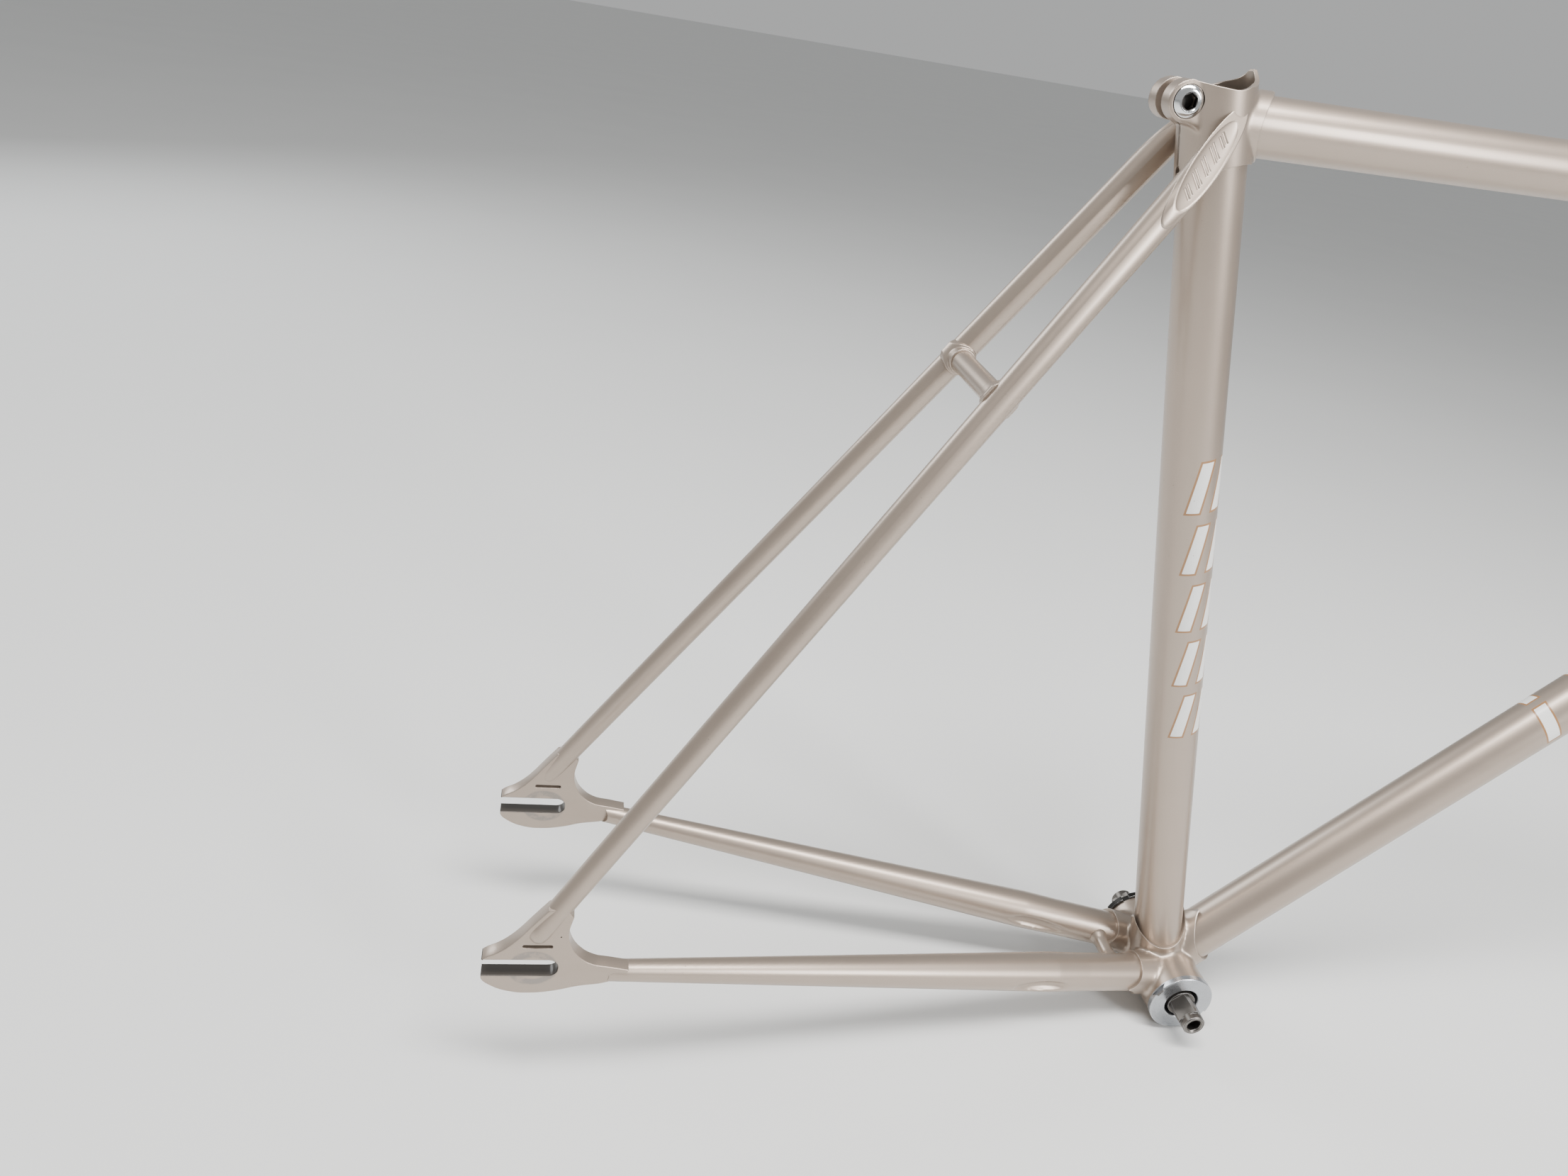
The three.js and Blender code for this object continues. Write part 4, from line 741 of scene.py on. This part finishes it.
STAY_TOP = 7 * MM
STAY_FOOT = 5.8 * MM
SEATSTAY_SEAT = AXLE + Vector((16.3, 63.5, 33)) * MM
SEATSTAY_TOP = SEAT_CLUSTER + Vector((0, 21.9, 0)) * MM
CAP_LENGTH = 46.5 * MM
CAP_RISE = 2.5 * MM
CAP_TIP_INSET = 5.2 * MM
CAP_DISH = 0.9 * MM
CAP_BRAZED_IN = 0.25 * MM
CAP_THICKNESS = 1.8 * MM
OVERRUN = 8.5 * MM                # how far a stay is made past its end, before it is cut
GROOVES = 5
GROOVE_PITCH = 6.6 * MM
GROOVE_RADIUS = 1.05 * MM
GROOVE_HEIGHT = 0.8 * MM          # its centre above the dish, so it cuts in by the rest


def seatstay_line(side):
    """Where a seat stay's centre line starts and ends."""
    return sided(SEATSTAY_SEAT, side), sided(SEATSTAY_TOP, side)


def cap_face(side):
    """The slanted face's tip, its normal, and the way down along it."""
    foot, top = seatstay_line(side)
    along = (top - foot).normalized()
    out = Vector((0, side, 0))
    out = (out - along * out.dot(along)).normalized()
    tip_point = top + along * CAP_RISE - out * CAP_TIP_INSET
    down = (-along * CAP_LENGTH + out * (STAY_TOP + CAP_TIP_INSET)).normalized()
    normal = (along * (STAY_TOP + CAP_TIP_INSET) + out * CAP_LENGTH).normalized()
    return tip_point, normal, down


def sliced(piece, point, normal):
    """Cuts off what is beyond a plane and closes the cut."""
    select(piece)
    bpy.ops.object.mode_set(mode="EDIT")
    bpy.ops.mesh.select_all(action="SELECT")
    bpy.ops.mesh.bisect(plane_co=point, plane_no=normal, use_fill=True, clear_outer=True)
    bpy.ops.object.mode_set(mode="OBJECT")
    return piece


for name, side in SIDES.items():
    foot, top = seatstay_line(side)
    along = (top - foot).normalized()
    tip_point, normal, down = cap_face(side)
    seam = tip_point - normal * CAP_THICKNESS
    stay = turned("seatstay_" + name, foot, along, [
        (0, -19 * MM), (3 * MM, -18.8 * MM), (4.3 * MM, -18 * MM), (5.2 * MM, -16.4 * MM),
        (STAY_FOOT - 0.15 * MM, -14.2 * MM), (STAY_FOOT, -12 * MM), (STAY_FOOT, 0),
        (STAY_TOP, (top - foot).length + OVERRUN),
        (0, (top - foot).length + OVERRUN)])
    sliced(stay, seam, normal)
    combine(stay, "DIFFERENCE", cutter(SEAT_UP * 0.38, SEAT_UP * 0.56, SEAT_LUG))
    smooth(stay)
    finish(stay, PAINT, "frame", "paint", "seatstay_" + name)

    cap = turned("seatstay_cap_" + name, foot, along, [
        (0, (top - foot).length - 0.07), (STAY_TOP - 0.12 * MM, (top - foot).length - 0.07),
        (STAY_TOP + 0.03 * MM, (top - foot).length + OVERRUN), (0, (top - foot).length + OVERRUN)], 128)
    sliced(cap, tip_point, normal)
    sliced(cap, seam, -normal)
    across_cap = normal.cross(down)
    turn = Matrix((down, across_cap, normal)).transposed().to_4x4()
    bpy.ops.object.select_all(action="DESELECT")
    bpy.ops.mesh.primitive_uv_sphere_add(segments=96, ring_count=64, radius=1)
    dish = bpy.context.object
    dish.data.transform(Matrix.Diagonal((CAP_LENGTH * 0.485, STAY_TOP * 0.90, CAP_DISH, 1)))
    dish.data.transform(turn)
    dish.data.transform(Matrix.Translation(tip_point + down * CAP_LENGTH * 0.5))
    combine(cap, "DIFFERENCE", dish)
    for groove in range(GROOVES):
        place = tip_point + down * (CAP_LENGTH * 0.5 + (groove - GROOVES // 2) * GROOVE_PITCH)
        length = (2.6 if groove in (0, GROOVES - 1) else 3.6) * MM
        slant = (across_cap + down * 0.45).normalized()
        for offset in (-1.1 * MM, 1.1 * MM):
            middle = place + down * offset + normal * (GROOVE_HEIGHT - CAP_DISH)
            combine(cap, "DIFFERENCE",
                    cutter(middle - slant * length, middle + slant * length, GROOVE_RADIUS,
                        sides=24))
    combine(cap, "DIFFERENCE",
            cutter(SEAT_UP * 0.38, SEAT_UP * 0.56, SEAT_LUG - CAP_BRAZED_IN),
            cutter(SEAT_CLUSTER, SEAT_CLUSTER + TOP_FORWARD * 0.04,
                TOP_TUBE + LUG_WALL - CAP_BRAZED_IN))
    smooth(cap, 28)
    finish(cap, PAINT, "frame", "paint", "seatstay_cap_" + name)

# --------------------------------------
# Dropouts. Thick plates cut from steel, with a long rearward slot for the axle, a thin level
# slit above it and a tongue brazed into each stay. Paint is rubbed off where the nuts clamp.

THICKNESS = 8 * MM
HUB_HALF = 60 * MM                # half of the room between the dropouts
SLOT_HALF = 5.15 * MM
SLOT_END = 19.1 * MM              # the slot's round end, in front of the axle
SLIT_BACK, SLIT_FRONT = 2 * MM, 14.8 * MM
SLIT_UP = 14.3 * MM
SLIT_HALF = 1.15 * MM
NUT_RUBBED = (0.155, 0.165, 0.17, 1)
# Near black painted shade for the slot's walls.
SLOT_WALL_SHADE = (0.055, 0.047, 0.04, 1)


def worn_paint_and_slot_shade(name):
    """The frame's paint on a dropout, rubbed in arcs by the axle nut, and bare inside the slot, whose
    walls carry a near black painted shade.
    """
    material = champagne(name)
    tree = material.node_tree
    shader = tree.nodes["Principled BSDF"]
    place = Socket(tree, tree.nodes["Texture Coordinate"].outputs["Object"])
    x, y, z = place.vector("SUBTRACT", AXLE + Vector((6.5 * MM, 0, 0))).split()
    reach = place.math("SQRT", x * x * 0.8 + z * z)
    streak = place.noise(170, 5, 0.65)
    facing = place.node("NewGeometry", (), (), "Normal").split()[1].size().above(0.9, 0.05)
    ring = reach.above(7.2 * MM, 0.8 * MM)
    ring = ring * (1 - (reach + streak * 2.4 * MM).above(12.4 * MM, 0.7 * MM))
    # Painted shade: the slot's walls are made near black.
    slot_wall = (1 - z.size().above(SLOT_HALF + 0.35 * MM, 0.15 * MM)) * (1 - facing)
    slot_wall = slot_wall * (1 - x.above(12.5 * MM, 0.2 * MM))
    bitten = (ring * facing * streak.above(0.42, 0.12) * 0.5).most(ring * facing * 0.2)
    for bare, looks in ((bitten, (NUT_RUBBED, 0.9, 0.44)), (slot_wall, (SLOT_WALL_SHADE, 0.55, 0.5))):
        for socket, value in zip(("Base Color", "Metallic", "Roughness"), looks):
            before = Socket(tree, shader.inputs[socket].links[0].from_socket)
            if socket == "Base Color":
                bare.tint(before, value).into(shader, socket)
            else:
                (before * (1 - bare) + bare * value).into(shader, socket)
    return material


def plate_outline():
    """The dropout's outline from the axle, as bezier points: place, and whether a corner."""
    return [
        ((-18.5, -5.15), True), ((-18.3, -7.6), False), ((-14, -11.9), False), ((-4.1, -16.2), False),
        ((6.4, -17.1), False), ((17.4, -15.7), False), ((29.9, -12.3), False), ((40, -10.7), True),
        ((45, -9.2), True), ((46, -4), False), ((54, -3.2), True), ((54.4, -1.2), True),
        ((44.9, 0.7), False), ((36.2, 2.6), False), ((29.2, 7.6), False), ((24.8, 14.4), False),
        ((23.1, 22.6), False), ((24.8, 33.5), True), ((20, 38.5), False), ((12.5, 37.5), True),
        ((4.6, 27), False), ((-1, 19.4), False),
        ((-6, 13.9), False), ((-11.1, 9.8), False), ((-16.3, 6.9), False), ((-18.5, 5.15), True)]


for name, side in SIDES.items():
    curve = bpy.data.curves.new("dropout_" + name, "CURVE")
    curve.dimensions, curve.fill_mode = "2D", "BOTH"
    rounding = 0.5 * MM
    curve.extrude, curve.offset = THICKNESS / 2 - rounding, -rounding
    curve.bevel_depth, curve.bevel_resolution, curve.resolution_u = rounding, 2, 8
    half, end = SLOT_HALF / MM, SLOT_END / MM
    arc = [((end - half + half * sin(step * pi / 8), half * cos(step * pi / 8)), step in (0, 8))
           for step in range(9)]
    outline = plate_outline() + arc
    spline = curve.splines.new("BEZIER")
    spline.bezier_points.add(len(outline) - 1)
    spline.use_cyclic_u = True
    for point, ((x, z), corner) in zip(spline.bezier_points, outline):
        point.co = Vector((x, z, 0)) * MM
        point.handle_left_type = point.handle_right_type = "VECTOR" if corner else "AUTO"
    dropout = bpy.data.objects.new("dropout_" + name, curve)
    bpy.context.scene.collection.objects.link(dropout)
    select(dropout)
    bpy.ops.object.convert(target="MESH")
    dropout = bpy.context.object
    middle = side * (HUB_HALF + THICKNESS / 2)
    dropout.rotation_euler = (pi / 2, 0, 0)
    dropout.location = (AXLE.x, middle, AXLE.z)
    bpy.ops.object.transform_apply()
    bpy.ops.object.mode_set(mode="EDIT")
    bpy.ops.mesh.select_all(action="SELECT")
    bpy.ops.mesh.remove_doubles(threshold=2e-6)
    bpy.ops.mesh.normals_make_consistent(inside=False)
    bpy.ops.object.mode_set(mode="OBJECT")
    slit = block((AXLE.x + SLIT_BACK, middle - 0.01, AXLE.z + SLIT_UP - SLIT_HALF),
                 (AXLE.x + SLIT_FRONT, middle + 0.01, AXLE.z + SLIT_UP + SLIT_HALF))
    for end_x in (SLIT_BACK, SLIT_FRONT):
        centre = Vector((AXLE.x + end_x, middle, AXLE.z + SLIT_UP))
        combine(slit, "UNION",
                cutter(centre - ACROSS * 0.01, centre + ACROSS * 0.01, SLIT_HALF, sides=32))
    vent = Vector((AXLE.x + 19.4 * MM, middle, AXLE.z + 20.8 * MM))
    combine(dropout, "DIFFERENCE", slit,
            cutter(vent, vent + ACROSS * side * 0.01, 0.45 * MM, sides=24))
    smooth(dropout)
    finish(dropout, worn_paint_and_slot_shade("dropout_paint_" + name), "frame", "paint", "dropout_" + name)

# --------------------------------------
# Brake bridge. A short tube between the seat stays. A thin saddle collar wraps each stay where
# the tube meets it; the paint's painted edge highlight makes its edges bright.

BRIDGE_UP = 322 * MM
BRIDGE = 5.5 * MM
COLLAR = 7.2 * MM
COLLAR_WALL = 1.6 * MM
STAY_REACH = 480 * MM             # length over which a seat stay tapers


def along_line(line, distance):
    """The point this far along a line from its start."""
    start, end = line
    return start + (end - start).normalized() * distance


right_end, left_end = (along_line(seatstay_line(side), BRIDGE_UP) for side in SIDES.values())
length = (left_end - right_end).length
bridge = turned("brake_bridge", right_end, ACROSS, [
    (BRIDGE, 0), (BRIDGE, length), (BRIDGE - MM, length), (BRIDGE - MM, 0)])
stay_radius = STAY_FOOT + (STAY_TOP - STAY_FOOT) * BRIDGE_UP / STAY_REACH
for side in SIDES.values():
    foot, top = seatstay_line(side)
    combine(bridge, "DIFFERENCE", cutter(foot, top, stay_radius))
smooth(bridge)
finish(bridge, PAINT, "frame", "paint", "brake_bridge")

for (name, side), centre in zip(SIDES.items(), (right_end, left_end)):
    foot, top = seatstay_line(side)
    along = (top - foot).normalized()
    inward = -ACROSS * side
    collar = bar("bridge_collar_" + name, centre - along * 15 * MM, centre + along * 15 * MM,
                 stay_radius + COLLAR_WALL, sides=128)
    combine(collar, "INTERSECT",
            cutter(centre, centre + inward * 0.02, COLLAR + 1.5 * MM, COLLAR - MM))
    combine(collar, "UNION", bar("neck", centre, centre + inward * 10.4 * MM, BRIDGE + 0.9 * MM))
    cast(collar, 0.3 * MM, 5)
    combine(collar, "DIFFERENCE", cutter(foot, top, stay_radius - BRAZED_IN),
            cutter(centre, centre + inward * 0.03, BRIDGE - BRAZED_IN))
    smooth(collar, 45)
    finish(collar, PAINT, "frame", "paint", "bridge_collar_" + name)

# --------------------------------------
# Chainstay bridge. A small turned brace just behind the shell, waisted in the middle and flared
# where it is brazed to the chainstays.

STAY_BRIDGE_BACK = 38.5 * MM
FLARE = 4.5 * MM
right_end, left_end = (along_line(chainstay_line(side), STAY_BRIDGE_BACK) for side in SIDES.values())
half = (left_end - right_end).length / 2
profile = [(0, 0)]
for step in range(-12, 13):
    share = step / 12
    flare = max(0, abs(share) * half - (half - CHAINSTAY - FLARE)) / FLARE
    profile.append(((4.2 + 1.5 * min(flare, 1) ** 2) * MM, half + share * half))
profile.append((0, 2 * half))
brace = turned("chainstay_bridge", right_end, ACROSS, profile)
for side in SIDES.values():
    combine(brace, "DIFFERENCE", cutter(*chainstay_line(side), CHAINSTAY - BRAZED_IN))
smooth(brace)
finish(brace, PAINT, "frame", "paint", "chainstay_bridge")

# --------------------------------------
# Bottom bracket cups. The right one is screwed home against its flange, which has two flats for
# a wrench. The left one sets the bearings' play and is held by a notched black lockring.

CUP_BODY = 17.2 * MM
CUP_MOUTH = 10.5 * MM
CUP_INNER = 19 * MM               # a cup's inner end, from the centre plane
FLANGE = 19.8 * MM
FLAT_TURN = radians(152)
FLAT_HALF = 18 * MM               # half the width across the wrench flats
FLAT_FOOT = 34.5 * MM             # where the flats start, from the centre plane
BALL_ROW = 25 * MM
PIN_CIRCLE = 13.6 * MM
PIN_HOLE = 1.5 * MM
RING_BORE = 17.25 * MM
RING_OUTER = 20.8 * MM
NOTCHES = 8
RINGS_PER_METRE = 5200


def brushed_steel(name, colour, shine, dark):
    """Machined steel: fine rings round the bracket's axis, stains, painted highlights on its edges and
    painted shade in its corners.
    """
    material, shader, place = new_finish(name)
    x, y, z = place.split()
    reach = place.math("SQRT", x * x + z * z)
    inputs = {"W": (reach + y) * RINGS_PER_METRE, "Scale": 1, "Detail": 2}
    rings = place.node("TexNoise", {"noise_dimensions": "1D"}, inputs, "Fac")
    stain = place.noise(110, 5, 0.6)
    edges, rounded = edge_highlight_and_rounding(place, 0.3 * MM)
    # Painted shade in the corners, where nearby surfaces hide the sky.
    crevice_shade = place.shade(4 * MM).above(0.5, 0.3)
    base = (rings * 0.35 + stain * 0.65).tint(dark, colour)
    # Painted highlight: the steel is lightened along sharp edges.
    base = (edges * 0.6).tint(base, (0.78, 0.78, 0.79, 1))
    # Near black painted shade in the corners.
    (crevice_shade * 0.75).tint(base, (0.03, 0.026, 0.022, 1)).into(shader, "Base Color")
    (shine + rings * 0.12 + stain * 0.12 + crevice_shade * 0.25).into(shader, "Roughness")
    (0.95 - crevice_shade * 0.5).into(shader, "Metallic")
    (rings + stain).bump_into(shader, 0.25, 0.05 * MM, rounded)
    return material


CUP_STEEL = brushed_steel("cup_steel", (0.55, 0.57, 0.60, 1), 0.16, (0.33, 0.34, 0.36, 1))


def cup_outline(outer, flange_inner, flange):
    """A cup's section: thread, flange, mouth, and the hollow for the balls."""
    return [(CUP_BODY, CUP_INNER), (CUP_BODY, flange_inner), (flange, flange_inner),
            (flange, outer - 0.5 * MM), (flange - 0.5 * MM, outer), (CUP_MOUTH + 0.5 * MM, outer),
            (CUP_MOUTH, outer - 0.5 * MM), (CUP_MOUTH, BALL_ROW + 3.5 * MM),
            (12 * MM, BALL_ROW + 3.47 * MM), (14.4 * MM, BALL_ROW + 2.4 * MM),
            (15.4 * MM, BALL_ROW), (15.4 * MM, CUP_INNER)]


cup = turned("fixed_cup", BRACKET, -ACROSS, cup_outline(37.6 * MM, SHELL_HALF_WIDTH, FLANGE), 128)
flat_way = Vector((cos(FLAT_TURN), 0, sin(FLAT_TURN)))
for way in (flat_way, -flat_way):
    flat = cutter(way * FLAT_HALF, way * (FLAT_HALF + 0.04), 0.04, sides=4)
    combine(flat, "INTERSECT", cutter(-ACROSS * FLAT_FOOT, -ACROSS * 0.05, 0.03))
    combine(cup, "DIFFERENCE", flat)
smooth(cup)
finish(cup, CUP_STEEL, "frame", "cup_steel", "fixed_cup")

cup = turned("adjustable_cup", BRACKET, ACROSS,
             cup_outline(39.4 * MM, SHELL_HALF_WIDTH, CUP_BODY + 0.01 * MM), 128)
for pin in range(6):
    hole = Vector((cos(pin * pi / 3), 0, sin(pin * pi / 3))) * PIN_CIRCLE
    combine(cup, "DIFFERENCE",
            cutter(hole + ACROSS * 36.4 * MM, hole + ACROSS * 0.045, PIN_HOLE, sides=32))
smooth(cup)
finish(cup, CUP_STEEL, "frame", "cup_steel", "adjustable_cup")

ring = turned("lockring", BRACKET, ACROSS, [
    (RING_BORE, SHELL_HALF_WIDTH), (20.4 * MM, SHELL_HALF_WIDTH),
    (RING_OUTER, SHELL_HALF_WIDTH + 0.4 * MM), (RING_OUTER, SHELL_HALF_WIDTH + 3.4 * MM),
    (20.0 * MM, SHELL_HALF_WIDTH + 4.2 * MM), (17.7 * MM, SHELL_HALF_WIDTH + 4.2 * MM),
    (RING_BORE, SHELL_HALF_WIDTH + 3.8 * MM)])
for notch in range(NOTCHES):
    turn = -(notch + 0.3) * 2 * pi / NOTCHES
    gap = block((18.6 * MM, 0.03, -2.25 * MM), (0.025, 0.05, 2.25 * MM))
    gap.data.transform(Matrix.Rotation(-turn, 4, "Y"))
    combine(ring, "DIFFERENCE", gap)
apply(ring, "BEVEL", width=0.15 * MM, segments=2, limit_method="ANGLE", angle_limit=radians(50))
smooth(ring)
BLACK_STEEL = brushed_steel("black_steel", (0.045, 0.043, 0.04, 1), 0.3, (0.02, 0.019, 0.018, 1))
finish(ring, BLACK_STEEL, "frame", "black_steel", "lockring")

# --------------------------------------
# Spindle. Hardened steel, turned with a shoulder for each row of balls, ground to a tapered
# square at each end and bored for the crank bolts. It is the part that turns.

SPINDLE_HALF = 55 * MM
SPINDLE = 8.5 * MM
BOSS = 6.7 * MM
BOSS_LENGTH = 4 * MM
TAPER_LENGTH = 13.5 * MM
TAPER_FLAT = 6.35 * MM
TAPER_TURN = radians(43)

root = SPINDLE_HALF - BOSS_LENGTH - TAPER_LENGTH
waist = SPINDLE - 1.5 * MM
upper = [(waist, 16 * MM), (8.9 * MM, 20 * MM), (9.4 * MM, 22.6 * MM), (8.55 * MM, 23.9 * MM),
         (8.45 * MM, 25.2 * MM), (SPINDLE, 27 * MM), (SPINDLE, root)]
lower = [(radius, -height) for radius, height in reversed(upper)]
spindle = turned("spindle", BRACKET, ACROSS, [(0, -root)] + lower + upper + [(0, root)])
for side in SIDES.values():
    wide = TAPER_FLAT + TAPER_LENGTH * tan(radians(2))
    bpy.ops.object.select_all(action="DESELECT")
    bpy.ops.mesh.primitive_cone_add(vertices=4, radius1=wide * sqrt(2), radius2=TAPER_FLAT * sqrt(2),
                                    depth=TAPER_LENGTH + 0.4 * MM)
    square = bpy.context.object
    square.data.transform(Matrix.Rotation(pi / 4 - side * TAPER_TURN, 4, "Z"))
    square.data.transform(Vector((0, side, 0)).to_track_quat("Z", "X").to_matrix().to_4x4())
    square.data.transform(Matrix.Translation(ACROSS * side * (root + TAPER_LENGTH / 2)))
    combine(square, "INTERSECT", cutter(BRACKET, ACROSS * side * 0.06, SPINDLE - 0.2 * MM))
    combine(spindle, "UNION", square)
    end = ACROSS * side * SPINDLE_HALF
    boss = turned("boss", BRACKET, ACROSS * side, [
        (0, SPINDLE_HALF - BOSS_LENGTH - MM), (BOSS, SPINDLE_HALF - BOSS_LENGTH - MM),
        (BOSS, SPINDLE_HALF - 0.6 * MM), (BOSS - 0.6 * MM, SPINDLE_HALF), (0, SPINDLE_HALF)])
    combine(spindle, "UNION", boss)
    combine(spindle, "DIFFERENCE",
            cutter(end * 0.6, end * 1.1, 4.1 * MM, sides=64),
            cutter(end - ACROSS * side * MM, end + ACROSS * side * 0.2 * MM, 4.0 * MM,
                5.2 * MM, sides=64))
smooth(spindle)
SPINDLE_STEEL = brushed_steel("spindle_steel", (0.20, 0.185, 0.17, 1), 0.24, (0.085, 0.078, 0.07, 1))
finish(spindle, SPINDLE_STEEL, "spindle", "spindle_steel", "spindle")

# --------------------------------------
# Bearings and dust sleeve. Nine bright balls a side run between each cup and the spindle, held
# apart by a thin pressed cage. A plastic sleeve keeps dirt out of them. All are hidden inside.

BALLS = 9


def set_material(node, material):
    """Gives a CAD node that stays as it is its material."""
    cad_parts[node].data.materials.clear()
    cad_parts[node].data.materials.append(material)


def greasy(name, colour, shine, metallic):
    """A part that runs in grease: its own colour with an amber film in patches."""
    material, shader, place = new_finish(name, Metallic=metallic)
    film = place.noise(240, 3, 0.6)
    film.above(0.55, 0.12).tint(colour, (0.16, 0.09, 0.03, 1)).into(shader, "Base Color")
    (shine + film * 0.2).into(shader, "Roughness")
    return material


BALL_STEEL = greasy("ball_steel", (0.72, 0.73, 0.75, 1), 0.05, 1.0)
CAGE_STEEL = greasy("cage_steel", (0.42, 0.41, 0.39, 1), 0.3, 0.95)
for name in SIDES:
    set_material("ball_cage_" + name, CAGE_STEEL)
    for ball in range(BALLS):
        set_material(f"ball_{name}_{ball + 1}", BALL_STEEL)
set_material("dust_sleeve", greasy("sleeve_plastic", (0.02, 0.025, 0.03, 1), 0.45, 0.0))

# --------------------------------------
# Floor, lights and camera. A pale floor, one large soft light overhead, a weaker one from the
# camera's side and a dim one behind.

low, high = cad_box
bpy.ops.object.select_all(action="DESELECT")
bpy.ops.mesh.primitive_plane_add(size=60, location=(0, 0, low[2] - 0.5 * MM))
floor = bpy.context.object
floor.name = "floor"
material, shader, place = new_finish("floor_paper", Roughness=0.9)
place.noise(3, 4).tint((0.70, 0.705, 0.70, 1), (0.74, 0.745, 0.735, 1)).into(shader, "Base Color")
floor.data.materials.append(material)


def soft_light(name, location, target, size, power, colour=(1, 1, 1)):
    lamp = bpy.data.lights.new(name, "AREA")
    lamp.shape, lamp.size, lamp.size_y = "RECTANGLE", size[0], size[1]
    lamp.energy, lamp.color = power, colour
    light = bpy.data.objects.new(name, lamp)
    light.location = location
    light.rotation_euler = (Vector(target) - Vector(location)).to_track_quat("-Z", "Y").to_euler()
    bpy.context.scene.collection.objects.link(light)


middle = (Vector(low) + Vector(high)) / 2
soft_light("overhead", (-0.1, -0.45, 1.9), middle, (1.8, 0.45), 66, (1, 0.985, 0.97))
soft_light("camera_side", (1.1, -1.7, 1.1), middle, (0.5, 0.9), 36)
soft_light("behind", (-1.6, 1.8, 1.3), middle, (1.0, 1.0), 22, (0.95, 0.98, 1))
world = bpy.data.worlds.new("studio")
world.use_nodes = True
world.node_tree.nodes["Background"].inputs["Color"].default_value = (0.93, 0.94, 0.94, 1)
world.node_tree.nodes["Background"].inputs["Strength"].default_value = 0.5
bpy.context.scene.world = world

lens = bpy.data.cameras.new("camera")
lens.lens, lens.sensor_width = 26.22, 36
camera = bpy.data.objects.new("camera", lens)
camera.location = Vector((-391.85, -494.63, 496.23)) * MM
camera.rotation_euler = [radians(turn) for turn in (63.254, -8.866, -8.186)]
bpy.context.scene.collection.objects.link(camera)
bpy.context.scene.camera = camera
